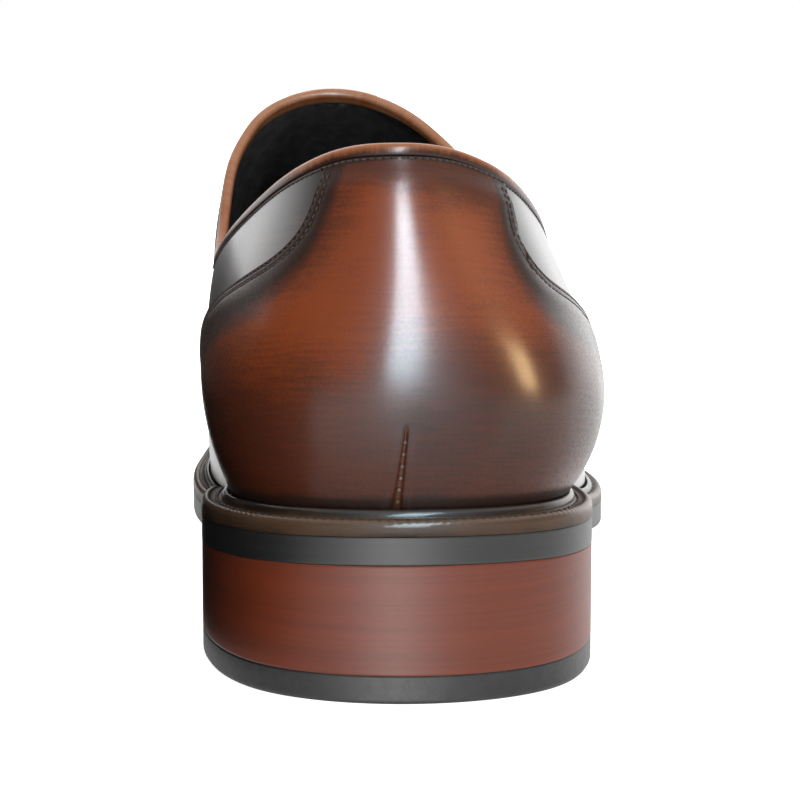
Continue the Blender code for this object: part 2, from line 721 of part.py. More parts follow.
def vamp_finder(upper):
    """Look-up of the vamp's height and normal over a plan point, in millimetres."""
    mesh = upper.data
    points = [vertex.co.copy() for vertex in mesh.vertices]
    tree = BVHTree.FromPolygons(points, [tuple(face.vertices) for face in mesh.polygons])
    middle = 0.5 * (SIDES["lateral"][:, 0].max() + SIDES["medial"][:, 0].min())

    def drop(across, forward):
        start = Vector(((across - middle) * MM, (forward - 0.5 * LENGTH) * MM, DROP_HEIGHT))
        hit, normal, _, _ = tree.ray_cast(start, Vector((0.0, 0.0, -1.0)))
        if normal.z < 0.0:
            normal = -normal
        point = np.array([across, forward, hit.z / MM])
        return point, np.array(normal)

    return drop


def build_tassel(name, side, drop, material):
    """One tassel lying on the vamp: a thong, a turned head and a skirt of strips fused into one solid."""
    sign = SIDE_SIGN[side]
    turn_out = math.radians(TASSEL_SPREAD)
    heading = np.array([sign * math.sin(turn_out), math.cos(turn_out)])
    knot_edge = 0.5 * TIE_STRAP_WIDTH + KNOT_EXTRA
    start_station = TIE_STATION * LENGTH + knot_edge + TASSEL_START_GAP
    start = np.array([TIE_ACROSS + sign * TASSEL_START_ACROSS, start_station])
    along = column(TASSEL, TASSEL_COLUMNS, "along")
    radius = column(TASSEL, TASSEL_COLUMNS, "radius")
    strips = column(TASSEL, TASSEL_COLUMNS, "strips")
    size = TASSEL_STRIPS * STRIP_POINTS
    vertices = []
    fall = math.cos(math.radians(TASSEL_FALL))
    for i in range(len(along)):
        plan = start + heading * along[i] * TASSEL_LENGTH * fall
        under, normal = drop(plan[0], plan[1])
        ahead, _ = drop(*(plan + heading))
        way = ahead - under
        way /= np.linalg.norm(way)
        normal = normal - way * np.dot(normal, way)
        normal /= np.linalg.norm(normal)
        across = np.cross(way, normal)
        flat = 1.0 - SKIRT_FLATTEN * strips[i]
        widen = 1.0 + SKIRT_WIDEN * strips[i]
        centre = under + normal * (radius[i] * flat + TASSEL_CLEARANCE)
        for k in range(size):
            turn = 2.0 * math.pi * k / size
            groove = STRIP_GROOVE * strips[i] if k % STRIP_POINTS == 0 else 0.0
            reach = radius[i] * (1.0 - groove)
            sideways = across * (reach * widen * math.cos(turn))
            upwards = normal * (reach * flat * math.sin(turn))
            vertices.append(centre + sideways + upwards)
    rings = len(along)
    faces = ring_faces(rings, size, False)
    faces.append(tuple(range(size)))
    faces.append(tuple((rings - 1) * size + k for k in range(size - 1, -1, -1)))
    return new_object(name, place(vertices), faces, material)


def build_tie(drop, material):
    """The flat knot on the ridge and the two straps that run down from it to the vamp."""
    station = TIE_STATION * LENGTH
    vertices = []
    for row in TIE_ROWS:
        across = TIE_ACROSS + row * TIE_HALF_WIDTH
        under, normal = drop(across, station)
        knot = KNOT_EXTRA * max(0.0, 1.0 - (row / KNOT_SHARE) ** 2) ** 0.5
        tip = TIE_TIP if abs(row) == 1.0 else 1.0
        half_width = (0.5 * TIE_STRAP_WIDTH + knot) * tip
        half_height = (0.5 * TIE_STRAP_THICKNESS + knot) * tip
        forward = np.array([0.0, 1.0, 0.0])
        forward = forward - normal * np.dot(forward, normal)
        forward /= np.linalg.norm(forward)
        centre = under + normal * (0.5 * TIE_STRAP_THICKNESS + knot + TIE_CLEARANCE)
        for k in range(TIE_POINTS):
            turn = 2.0 * math.pi * k / TIE_POINTS
            wide = math.copysign(abs(math.cos(turn)) ** TIE_SQUARENESS, math.cos(turn))
            tall = math.copysign(abs(math.sin(turn)) ** TIE_SQUARENESS, math.sin(turn))
            vertices.append(centre + forward * (half_width * wide) + normal * (half_height * tall))
    rings = len(TIE_ROWS)
    faces = ring_faces(rings, TIE_POINTS, False)
    faces.append(tuple(range(TIE_POINTS)))
    faces.append(tuple((rings - 1) * TIE_POINTS + k for k in range(TIE_POINTS - 1, -1, -1)))
    return new_object("tassel_tie", place(vertices), faces, material)


for old in list(bpy.data.objects):
    bpy.data.objects.remove(old, do_unlink=True)
PART = bpy.data.collections.new("tassel loafer")
bpy.context.scene.collection.children.link(PART)

leather = new_material("upper_leather", (0.055, 0.022, 0.012), 0.3)
counter_leather = new_material("counter_leather", (0.14, 0.055, 0.022), 0.3)
binding_leather = new_material("binding_leather", (0.075, 0.032, 0.016), 0.35)
insole_leather = new_material("insole_leather", (0.02, 0.016, 0.014), 0.6)
welt_leather = new_material("welt_leather", (0.06, 0.03, 0.016), 0.45)
outsole_leather = new_material("outsole_leather", (0.012, 0.011, 0.012), 0.5)
stack_leather = new_material("heel_stack_leather", (0.11, 0.035, 0.018), 0.4)
lift_rubber = new_material("top_lift_rubber", (0.01, 0.01, 0.011), 0.6)
tassel_leather = new_material("tassel_leather", (0.06, 0.024, 0.012), 0.35)

upper_piece = build_upper(leather)
build_counter(counter_leather)
build_binding(binding_leather)
build_welt(welt_leather)
build_sole_plates(
    {"outsole": outsole_leather, "insole": insole_leather, "stack": stack_leather, "lift": lift_rubber}
)
find_vamp = vamp_finder(upper_piece)
build_tie(find_vamp, tassel_leather)
build_tassel("tassel_medial", "medial", find_vamp, tassel_leather)
build_tassel("tassel_lateral", "lateral", find_vamp, tassel_leather)
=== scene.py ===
"""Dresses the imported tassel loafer: burnished leathers, lining, stitches, welted sole, heel and tassels.

The shapes repeat the last that the solids were made on. While a piece is worked out, x runs across the
foot (lateral plus, medial minus), station runs forward from the back of the heel and z runs up, all in
millimetres. place() turns that into the frame's metres.
"""

import math

import bpy
import numpy as np
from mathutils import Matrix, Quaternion, Vector
from mathutils.bvhtree import BVHTree


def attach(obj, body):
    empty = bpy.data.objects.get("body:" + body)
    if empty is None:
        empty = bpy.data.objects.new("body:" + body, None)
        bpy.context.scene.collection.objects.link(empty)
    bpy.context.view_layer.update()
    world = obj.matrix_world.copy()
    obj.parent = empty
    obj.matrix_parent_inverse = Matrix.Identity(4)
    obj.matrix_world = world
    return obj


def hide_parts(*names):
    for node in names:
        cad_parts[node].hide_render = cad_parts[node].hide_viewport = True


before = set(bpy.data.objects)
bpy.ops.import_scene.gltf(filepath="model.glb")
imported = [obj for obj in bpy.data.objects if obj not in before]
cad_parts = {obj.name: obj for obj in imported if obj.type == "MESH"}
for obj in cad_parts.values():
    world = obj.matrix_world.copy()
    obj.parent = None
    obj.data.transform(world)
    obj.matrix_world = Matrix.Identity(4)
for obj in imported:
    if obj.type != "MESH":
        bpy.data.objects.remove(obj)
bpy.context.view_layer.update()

bl_info = {
    "name": "Tassel loafer dressing",
    "version": (1, 0, 0),
    "blender": (4, 5, 0),
    "location": "3D View > Sidebar > Loafer",
    "description": "Builds the leathers, stitches, sole and studio of one tassel loafer",
    "category": "Object",
}

MM = 0.001

# Driving sizes of the shoe, as in the solids
LENGTH = 300.0
BALL_WIDTH = 96.4
INSTEP_HEIGHT = 98.0
HEEL_HEIGHT = 23.3
TOE_SPRING = 11.0
GAP = 0.3
WALL = 1.6
COUNTER_THICKNESS = 1.0
TOP_LIFT_HEIGHT = 4.8
OUTSOLE_THICKNESS = 4.5
WELT_THICKNESS = 3.4
WELT_REACH = 10.5
INSOLE_THICKNESS = 2.6
BINDING_HEIGHT = 1.9
BINDING_WIDTH = 2.2


def table(names, *rows):
    """The columns of a table by name."""
    return dict(zip(names.split(), np.array(rows, dtype=float).T))



# Plan of the sole edge: station as a share of the length, widths from the axis as shares of the ball width
SOLE_OUTLINE = table(
    "station lateral medial",
    (0.033, 0.266, 0.244),
    (0.100, 0.354, 0.340),
    (0.180, 0.370, 0.355),
    (0.290, 0.374, 0.322),
    (0.390, 0.428, 0.304),
    (0.490, 0.520, 0.333),
    (0.580, 0.580, 0.382),
    (0.670, 0.568, 0.398),
    (0.750, 0.514, 0.380),
    (0.830, 0.430, 0.338),
    (0.900, 0.333, 0.280),
    (0.958, 0.217, 0.196),
    (0.988, 0.122, 0.108),
)
HEEL_TIP_ACROSS = 0.015
TOE_TIP_ACROSS = 0.012

# Side view of the sole's underside: share of the length, share of the heel height, share of the toe spring
SOLE_PROFILE = table(
    "station heel_share toe_share",
    (0.000, 1.000, 0.000),
    (0.120, 0.886, 0.000),
    (0.220, 0.780, 0.000),
    (0.330, 0.470, 0.000),
    (0.440, 0.185, 0.000),
    (0.530, 0.040, 0.000),
    (0.600, 0.000, 0.000),
    (0.720, 0.000, 0.000),
    (0.840, 0.000, 0.270),
    (0.930, 0.000, 0.640),
    (1.000, 0.000, 1.000),
)
HEEL_BREAST = 0.212

# Ledge of the welt outside the leather on each side, in millimetres, and how much of the counter lies on it
LEDGE = table(
    "station lateral medial cover",
    (0.00, 4.3, 4.3, 1.0),
    (0.10, 4.8, 4.7, 1.0),
    (0.18, 4.7, 5.6, 1.0),
    (0.30, 3.4, 4.6, 1.0),
    (0.39, 2.4, 3.0, 1.0),
    (0.47, 2.8, 2.8, 0.0),
    (0.62, 4.2, 4.2, 0.0),
    (0.90, 4.4, 4.4, 0.0),
    (1.00, 4.4, 4.4, 0.0),
)

# Sections of the upper up to the collar: share of the way round from heel to toe, then the leather edge's
# station, widths and height as shares of the length, ball width and instep height, the wall's lean at the top
# and its flare at the welt on each side (degrees), and how full it is low down and high up
COLLAR = table(
    "share station lateral medial height lateral_lean medial_lean lateral_flare medial_flare low high",
    (0.000, 0.032, -0.010, 0.010, 0.916, 10, 10, 16, 16, 0.370, 0.340),
    (0.050, 0.045, 0.080, 0.103, 0.907, 12, 9, 22, 18, 0.395, 0.350),
    (0.100, 0.072, 0.170, 0.182, 0.872, 14, 11, 33, 24, 0.420, 0.358),
    (0.150, 0.110, 0.231, 0.236, 0.827, 18, 14, 41, 26.5, 0.445, 0.388),
    (0.200, 0.156, 0.278, 0.282, 0.774, 21.5, 16, 42, 24.5, 0.475, 0.425),
    (0.270, 0.213, 0.307, 0.317, 0.718, 19.7, 15.5, 34.5, 22.5, 0.455, 0.400),
    (0.340, 0.273, 0.316, 0.331, 0.677, 16.5, 12, 21, 17, 0.425, 0.375),
    (0.400, 0.325, 0.300, 0.330, 0.683, 18, 9.3, 9, 12, 0.390, 0.380),
    (0.440, 0.364, 0.264, 0.322, 0.748, 22, 10.5, 4, 8, 0.315, 0.357),
    (0.475, 0.389, 0.214, 0.308, 0.834, 31, 15.3, 1, 5, 0.243, 0.331),
    (0.505, 0.411, 0.150, 0.275, 0.905, 47, 27.6, 0, 5, 0.240, 0.267),
    (0.530, 0.428, 0.050, 0.201, 0.972, 65, 48, 0, 5, 0.267, 0.211),
    (0.542, 0.435, -0.024, 0.131, 0.995, 78, 68, 0, 5, 0.262, 0.213),
    (0.550, 0.437, -0.078, 0.078, 1.000, 90, 90, 0, 6, 0.280, 0.203),
)

# Sections of the vamp from the throat to the toe, meeting along the ridge
RIDGE = table(
    "share station across height lateral_flare medial_flare low high",
    (0.550, 0.437, -0.078, 1.000, 0, 6, 0.280, 0.203),
    (0.620, 0.512, -0.066, 0.853, 2, 6, 0.29, 0.26),
    (0.690, 0.597, -0.046, 0.688, 5, 8, 0.31, 0.33),
    (0.760, 0.690, -0.024, 0.552, 8, 10, 0.34, 0.40),
    (0.830, 0.790, -0.004, 0.466, 12, 13, 0.38, 0.44),
    (0.880, 0.867, 0.008, 0.418, 15, 16, 0.42, 0.48),
    (0.915, 0.918, 0.012, 0.378, 18, 18, 0.45, 0.52),
)
THROAT_SHARE = 0.550
TOE_POLE_SHARE = 0.915
HEEL_CENTRE_STATION = 0.125

# Upper edge of the counter on each side: where its column starts at the welt, where it ends round the shoe,
# both as shares of the way round, and the height it ends at as a share of the wall there
COUNTER = table(
    "base lateral_share lateral_rise medial_share medial_rise",
    (0.000, 0.000, 0.997, 0.000, 0.997),
    (0.030, 0.054, 0.997, 0.034, 0.997),
    (0.060, 0.108, 0.995, 0.067, 0.995),
    (0.075, 0.103, 0.910, 0.072, 0.925),
    (0.090, 0.100, 0.820, 0.079, 0.850),
    (0.105, 0.105, 0.755, 0.090, 0.800),
    (0.125, 0.119, 0.712, 0.109, 0.764),
    (0.150, 0.146, 0.694, 0.141, 0.742),
    (0.190, 0.190, 0.676, 0.190, 0.726),
    (0.240, 0.240, 0.620, 0.240, 0.670),
    (0.285, 0.285, 0.500, 0.285, 0.540),
    (0.325, 0.325, 0.320, 0.325, 0.340),
    (0.350, 0.350, 0.150, 0.350, 0.150),
    (0.366, 0.366, 0.020, 0.366, 0.020),
)
SEAM_START = 0.060
SEAM_START_ROW = 2

# The dart that closes the counter low at the back: its ends on the heel axis and its half widths
DART_TOP_ACROSS = -0.2
DART_TOP_HEIGHT = 45.8
DART_LOW_ACROSS = -1.7
DART_LOW_HEIGHT = 32.3
DART_TOP_HALF = 0.30
DART_LOW_HALF = 0.85
DART_DEPTH = 0.60
DART_LIP = 0.24

# Welt edge from its outer foot over the rim, the groove and the bead to its hidden root: what the distance is
# measured from, the distance, the rise above the welt's underside, and how burnished, matte and notched it is
WELT_SECTION = (
    ("edge", 0.12, 0.00, 0.75, 1.0, 0.0),
    ("edge", 0.00, 0.14, 0.62, 1.0, 0.0),
    ("edge", 0.00, 1.55, 0.34, 0.7, 0.0),
    ("edge", 0.16, 2.35, 0.12, 0.1, 0.4),
    ("edge", 0.70, 2.88, 0.25, 0.1, 1.0),
    ("edge", 1.30, 2.92, 0.40, 0.8, 1.0),
    ("edge", 1.75, 2.62, 0.45, 1.0, 0.3),
    ("leather", 1.62, 2.70, 0.60, 1.0, 0.0),
    ("leather", 1.60, 3.40, 0.85, 0.3, 0.0),
    ("leather", 1.15, 4.15, 0.95, 0.0, 0.0),
    ("leather", 0.60, 4.25, 1.00, 0.0, 0.0),
    ("leather", 0.25, 3.75, 1.00, 0.5, 0.0),
    ("leather", 0.00, 3.35, 1.00, 1.0, 0.0),
    ("reach", 0.00, 3.30, 1.00, 1.0, 0.0),
    ("reach", 0.00, 0.00, 1.00, 1.0, 0.0),
)
NOTCH_PITCH = 1.6
NOTCH_DEPTH = 0.16

# Tassels: radius along each tassel, from its thong through its head to the ends of the strips
TASSEL = table(
    "along radius strips",
    (0.00, 1.2, 0.0),
    (0.12, 1.3, 0.0),
    (0.15, 2.7, 0.0),
    (0.20, 4.0, 0.0),
    (0.28, 4.5, 0.0),
    (0.36, 4.1, 0.0),
    (0.40, 3.4, 0.1),
    (0.45, 4.0, 0.5),
    (0.62, 5.0, 0.9),
    (0.82, 5.8, 1.0),
    (1.00, 6.2, 1.0),
)
TASSEL_LENGTH = 39.0
TASSEL_SPREAD = 21.0
TASSEL_CLEARANCE = 0.7
TASSEL_FALL = 30.0
SKIRT_START = 0.40
SKIRT_FLATTEN = 0.22
SKIRT_WIDEN = 0.18
TIE_STATION = 0.492
TIE_ACROSS = -6.6
TIE_HALF_WIDTH = 17.0
TIE_STRAP_WIDTH = 5.0
TIE_STRAP_THICKNESS = 1.8
KNOT_EXTRA = 1.8
TIE_CLEARANCE = 1.0

SIDE_SIGN = {"lateral": 1.0, "medial": -1.0}
UP = np.array([0.0, 0.0, 1.0])
SIDE_STEPS = 700
WRAP = 4
RIDGE_NUDGE = 0.0005
WALL_NUDGE = 0.0008
NEAREST_BATCH = 2000
MERGE_DISTANCE = 0.00001


# The last: curves and surfaces that every piece is cut from

def curve_through(knots, values, at):
    """Natural cubic curve through the rows, read at the given places."""
    knots = np.asarray(knots, dtype=float)
    values = np.asarray(values, dtype=float)
    at = np.asarray(at, dtype=float)
    step = np.diff(knots)
    count = len(knots)
    system = np.eye(count)
    load = np.zeros(count)
    for i in range(1, count - 1):
        system[i, i - 1] = step[i - 1]
        system[i, i] = 2.0 * (step[i - 1] + step[i])
        system[i, i + 1] = step[i]
        load[i] = 6.0 * ((values[i + 1] - values[i]) / step[i] - (values[i] - values[i - 1]) / step[i - 1])
    bend = np.linalg.solve(system, load)
    i = np.clip(np.searchsorted(knots, at, side="right") - 1, 0, count - 2)
    after = (at - knots[i]) / step[i]
    before = 1.0 - after
    straight = before * values[i] + after * values[i + 1]
    curved = (before**3 - before) * bend[i] + (after**3 - after) * bend[i + 1]
    return straight + curved * step[i] ** 2 / 6.0


def soft_run(t, start, end, start_slope, end_slope):
    """Soft run from start to end that leaves and arrives at the given slopes."""
    leaving = (1 + 2 * t) * (1 - t) ** 2 * start + t * (1 - t) ** 2 * start_slope
    return leaving + t**2 * (3 - 2 * t) * end + t**2 * (t - 1) * end_slope


def steady_curve(knots, values, at):
    """Curve through the rows that never swings past them, so a flat run stays flat."""
    knots = np.asarray(knots, dtype=float)
    values = np.asarray(values, dtype=float)
    at = np.clip(np.asarray(at, dtype=float), knots[0], knots[-1])
    step = np.diff(knots)
    rate = np.diff(values) / step
    slope = np.zeros(len(knots))
    slope[0] = rate[0]
    slope[-1] = rate[-1]
    for i in range(1, len(knots) - 1):
        if rate[i - 1] * rate[i] > 0.0:
            slope[i] = 2.0 * rate[i - 1] * rate[i] / (rate[i - 1] + rate[i])
    i = np.clip(np.searchsorted(knots, at, side="right") - 1, 0, len(knots) - 2)
    t = (at - knots[i]) / step[i]
    return soft_run(t, values[i], values[i + 1], step[i] * slope[i], step[i] * slope[i + 1])


def smooth_step(value, low, high):
    """Soft ramp from 0 at low to 1 at high."""
    t = np.clip((np.asarray(value, dtype=float) - low) / (high - low), 0.0, 1.0)
    return t * t * (3.0 - 2.0 * t)


def fade(value, full, gone):
    """Soft ramp from 1 at full to 0 at gone."""
    return 1.0 - smooth_step(value, full, gone)


def hump(value, centre, width):
    """Soft bump of height 1 at centre."""
    return np.exp(-(((np.asarray(value, dtype=float) - centre) / width) ** 2))


def unit(vectors):
    """Vectors scaled to length 1."""
    vectors = np.asarray(vectors, dtype=float)
    return vectors / np.maximum(np.linalg.norm(vectors, axis=-1, keepdims=True), 1e-12)


def run_lengths(points):
    """Distance travelled along a run of points."""
    return np.concatenate([[0.0], np.cumsum(np.linalg.norm(np.diff(points, axis=0), axis=1))])


def read_run(at, along, run):
    """A run's columns, read at places along it."""
    return np.column_stack([np.interp(at, along, values) for values in run.T])


def round_trip(lateral, medial):
    """Lateral points from heel to front, then medial ones back to the heel, as one closed run."""
    return np.concatenate([lateral, medial[-2:0:-1]])


def sole_sides():
    """The sole edge as two dense runs of plan points, lateral and medial, each from heel tip to toe tip."""
    station = SOLE_OUTLINE["station"] * LENGTH
    lateral = SOLE_OUTLINE["lateral"] * BALL_WIDTH
    medial = SOLE_OUTLINE["medial"] * BALL_WIDTH
    heel_tip = np.array([[HEEL_TIP_ACROSS * BALL_WIDTH, 0.0]])
    toe_tip = np.array([[TOE_TIP_ACROSS * BALL_WIDTH, LENGTH]])
    lateral_run = np.column_stack([lateral, station])
    medial_run = np.column_stack([-medial, station])[::-1]
    loop = np.vstack([heel_tip, lateral_run, toe_tip, medial_run])
    wrapped = np.vstack([loop[-WRAP:], loop, loop[:WRAP + 1]])
    along = run_lengths(wrapped)
    toe_at = along[WRAP + len(lateral_run) + 1]
    sides = {}
    for side, heel_at in (("lateral", along[WRAP]), ("medial", along[WRAP + len(loop)])):
        at = np.linspace(heel_at, toe_at, SIDE_STEPS)
        sides[side] = np.column_stack([curve_through(along, values, at) for values in wrapped.T])
    return sides



SIDES = sole_sides()
MIDDLE = 0.5 * (SIDES["lateral"][:, 0].max() + SIDES["medial"][:, 0].min())


def place(points):
    """Millimetres on the shoe's axis to metres in the frame."""
    return (np.asarray(points, dtype=float) - np.array([MIDDLE, 0.5 * LENGTH, 0.0])) * MM


def sole_edge(side, share, inset):
    """Plan points of one side of the sole, moved inwards, at shares of the way from heel tip to toe tip."""
    run = SIDES[side]
    way = unit(np.gradient(run, axis=0))
    inwards = np.column_stack([-way[:, 1], way[:, 0]]) * SIDE_SIGN[side]
    depth = inset(run[:, 1] / LENGTH, side) if callable(inset) else np.full(len(run), float(inset))
    moved = run + inwards * depth[:, None]
    moved[0] = (run[0, 0], depth[0])
    moved[-1] = (run[-1, 0], LENGTH - depth[-1])
    length = run_lengths(run)
    return read_run(np.asarray(share) * length[-1], length, moved)


def underside(forward):
    """Height of the outsole's underside at a station."""
    station = SOLE_PROFILE["station"]
    heel = SOLE_PROFILE["heel_share"] * HEEL_HEIGHT
    toe = SOLE_PROFILE["toe_share"] * TOE_SPRING
    return steady_curve(station, heel + toe, np.asarray(forward) / LENGTH)


def welt_bottom(forward):
    """Height of the welt's underside."""
    return underside(forward) + OUTSOLE_THICKNESS + GAP


def seat(forward):
    """Height of the welt's flat top, where the upper and the insole rest."""
    return welt_bottom(forward) + WELT_THICKNESS


def ledge(station, side):
    """Width of the welt outside the leather on a side, or the counter's cover, at a share of the length."""
    return steady_curve(LEDGE["station"], LEDGE[side], station)


def feather(station, side):
    """Inset of the upper's lower edge from the sole edge, at a share of the length."""
    cover = ledge(station, "cover")
    return ledge(station, side) + cover * (COUNTER_THICKNESS + 2.0 * GAP)


def collar_loop(name):
    """A column of the collar rows as one closed run, from throat to throat through the heel, wrapped."""
    share = COLLAR["share"]
    signed = name == "across"
    lateral = COLLAR["lateral" if signed else name]
    medial = -COLLAR["medial"] if signed else lateral
    knots = np.concatenate([-share[:0:-1], share])
    values = np.concatenate([medial[:0:-1], lateral])
    turn = 2.0 * THROAT_SHARE
    knots = np.concatenate([knots[-WRAP - 1:-1] - turn, knots, knots[1:WRAP + 1] + turn])
    values = np.concatenate([values[-WRAP - 1:-1], values, values[1:WRAP + 1]])
    return knots, values


def topline(share, side):
    """Top point of each section and the wall's lean there."""
    open_part = np.minimum(share, THROAT_SHARE)
    closed_part = np.clip(share, THROAT_SHARE, TOE_POLE_SHARE)
    on_collar = share <= THROAT_SHARE
    top = []
    for name, size in (("across", BALL_WIDTH), ("station", LENGTH), ("height", INSTEP_HEIGHT)):
        on_loop = curve_through(*collar_loop(name), open_part * SIDE_SIGN[side])
        on_ridge = curve_through(RIDGE["share"], RIDGE[name], closed_part)
        top.append(np.where(on_collar, on_loop, on_ridge) * size)
    lean = steady_curve(*level_start(COLLAR["share"], COLLAR[side + "_lean"]), open_part)
    return np.column_stack(top), np.radians(np.where(on_collar, lean, 90.0))



def level_start(knots, rows):
    """Rows with the second one mirrored before the first, so that a curve through them starts level."""
    return np.append(-knots[1], knots), np.append(rows[1], rows)


def shape_value(share, name):
    """A section's flare or fullness, read from the collar rows and then the ridge rows."""
    knots, rows = (np.append(COLLAR[key], RIDGE[key][1:]) for key in ("share", name))
    return steady_curve(*level_start(knots, rows), share)


def ridge_slope(share):
    """Angle at which the ridge falls towards the toe."""
    at = np.clip(share, THROAT_SHARE + 2.0 * RIDGE_NUDGE, TOE_POLE_SHARE - 2.0 * RIDGE_NUDGE)
    change = []
    for values in (RIDGE["height"] * INSTEP_HEIGHT, RIDGE["station"] * LENGTH):
        ahead = curve_through(RIDGE["share"], values, at + RIDGE_NUDGE)
        change.append(ahead - curve_through(RIDGE["share"], values, at - RIDGE_NUDGE))
    return np.arctan2(-change[0], change[1])



def sections(share, side):
    """The four control points of each section of the upper, from the welt to the top of the leather."""
    share = np.asarray(share, dtype=float)
    foot_plan = sole_edge(side, share, feather)
    foot = np.column_stack([foot_plan, seat(foot_plan[:, 1]) + GAP])
    top, lean = topline(share, side)
    pole_station = RIDGE["station"][-1] * LENGTH
    spine = np.clip(foot[:, 1], HEEL_CENTRE_STATION * LENGTH, pole_station)
    spine_across = np.where(foot[:, 1] > pole_station, RIDGE["across"][-1] * BALL_WIDTH, 0.0)
    away = np.column_stack([foot[:, 0] - spine_across, foot[:, 1] - spine])
    mid_part = (foot[:, 1] > HEEL_CENTRE_STATION * LENGTH) & (foot[:, 1] < pole_station)
    away[mid_part] = (SIDE_SIGN[side], 0.0)
    away = unit(away)
    outwards = np.column_stack([away, np.zeros(len(share))])
    fall = np.where(share > THROAT_SHARE, ridge_slope(share), 0.0)
    tipped = np.column_stack([away[:, 0], away[:, 1] * np.cos(fall), -away[:, 1] * np.sin(fall)])
    arrive = -tipped * np.sin(lean)[:, None] + UP * np.cos(lean)[:, None]
    chord = np.linalg.norm(top - foot, axis=1)
    flare = np.radians(shape_value(share, side + "_flare"))
    rise = outwards * np.sin(flare)[:, None] + UP * np.cos(flare)[:, None]
    low = foot + rise * (shape_value(share, "low") * chord)[:, None]
    high = top - arrive * (shape_value(share, "high") * chord)[:, None]
    return foot, low, high, top


def wall(share, rise, side):
    """Points of the upper's outer face at matching arrays of shares round the shoe and rises up the wall."""
    share, rise = np.broadcast_arrays(np.asarray(share, dtype=float), np.asarray(rise, dtype=float))
    foot, low, high, top = sections(share.ravel(), side)
    t = rise.ravel()[:, None]
    points = (1 - t) ** 3 * foot + 3 * (1 - t) ** 2 * t * low + 3 * (1 - t) * t**2 * high + t**3 * top
    return points.reshape(*share.shape, 3)


def wall_frame(share, rise, side):
    """Points of the upper's outer face, the ways up it and out of it, and the wall's length per rise."""
    here = wall(share, rise, side)
    round_way = wall(share + WALL_NUDGE, rise, side) - wall(np.maximum(share - WALL_NUDGE, 0.0), rise, side)
    up_way = wall(share, rise + WALL_NUDGE, side) - wall(share, rise - WALL_NUDGE, side)
    speed = np.linalg.norm(up_way, axis=-1) / (2.0 * WALL_NUDGE)
    out = unit(np.cross(round_way, up_way)) * SIDE_SIGN[side]
    return here, unit(up_way), out, speed


def share_of_station(station):
    """Share of the way round the lateral side at which a station is reached."""
    run = SIDES["lateral"]
    length = run_lengths(run)
    return float(np.interp(station * LENGTH, np.maximum.accumulate(run[:, 1]), length / length[-1]))


def spaced(*runs):
    """Places along a span: runs of (end, steps) one after another, from 0."""
    places = [0.0]
    for end, steps in runs:
        places += list(np.linspace(places[-1], end, steps + 1)[1:])
    return np.array(places)


def both_sides(lateral, medial):
    """Lateral columns from heel to front, then medial ones back to the heel, as one closed run."""
    return np.concatenate([lateral, medial[:, -2:0:-1]], axis=1)


def nearest(points, line):
    """Distance of each point to a dense run of points."""
    flat = points.reshape(-1, 3)
    found = []
    for begin in range(0, len(flat), NEAREST_BATCH):
        part = flat[begin:begin + NEAREST_BATCH, None, :]
        found.append(np.sqrt(((part - line[None]) ** 2).sum(axis=2).min(axis=1)))
    return np.concatenate(found).reshape(points.shape[:-1])



def round_rows(net, steps):
    """More rows between those of a net, on soft curves through them."""
    slope = np.gradient(net, axis=0)
    rows = []
    for i in range(len(net) - 1):
        for t in np.arange(steps) / steps:
            rows.append(soft_run(t, net[i], net[i + 1], slope[i], slope[i + 1]))
    rows.append(net[-1])
    return np.array(rows)


def bands(rows, places):
    """Bands of a mask from rows of what each is measured by, its strength, full at and gone at."""
    return [strength * fade(places[name], full, gone) for name, strength, full, gone in rows]


# Meshes laid over nets of points

def pick(*pieces):
    """Selects these pieces alone and makes the first of them active."""
    bpy.ops.object.select_all(action="DESELECT")
    for piece in pieces:
        piece.select_set(True)
    if pieces:
        bpy.context.view_layer.objects.active = pieces[0]


def edit_mesh(piece, *steps):
    """Runs edit-mode steps on the whole of one piece."""
    pick(piece)
    bpy.ops.object.mode_set(mode="EDIT")
    for step in steps:
        bpy.ops.mesh.select_all(action="SELECT")
        step()
    bpy.ops.object.mode_set(mode="OBJECT")


def merge_doubles():
    """Merges points that lie on each other."""
    bpy.ops.mesh.remove_doubles(threshold=MERGE_DISTANCE)


def close_ends():
    """Fills what is still open."""
    bpy.ops.mesh.fill_holes(sides=0)


def turn_outwards():
    """Points every face outwards."""
    bpy.ops.mesh.normals_make_consistent(inside=False)


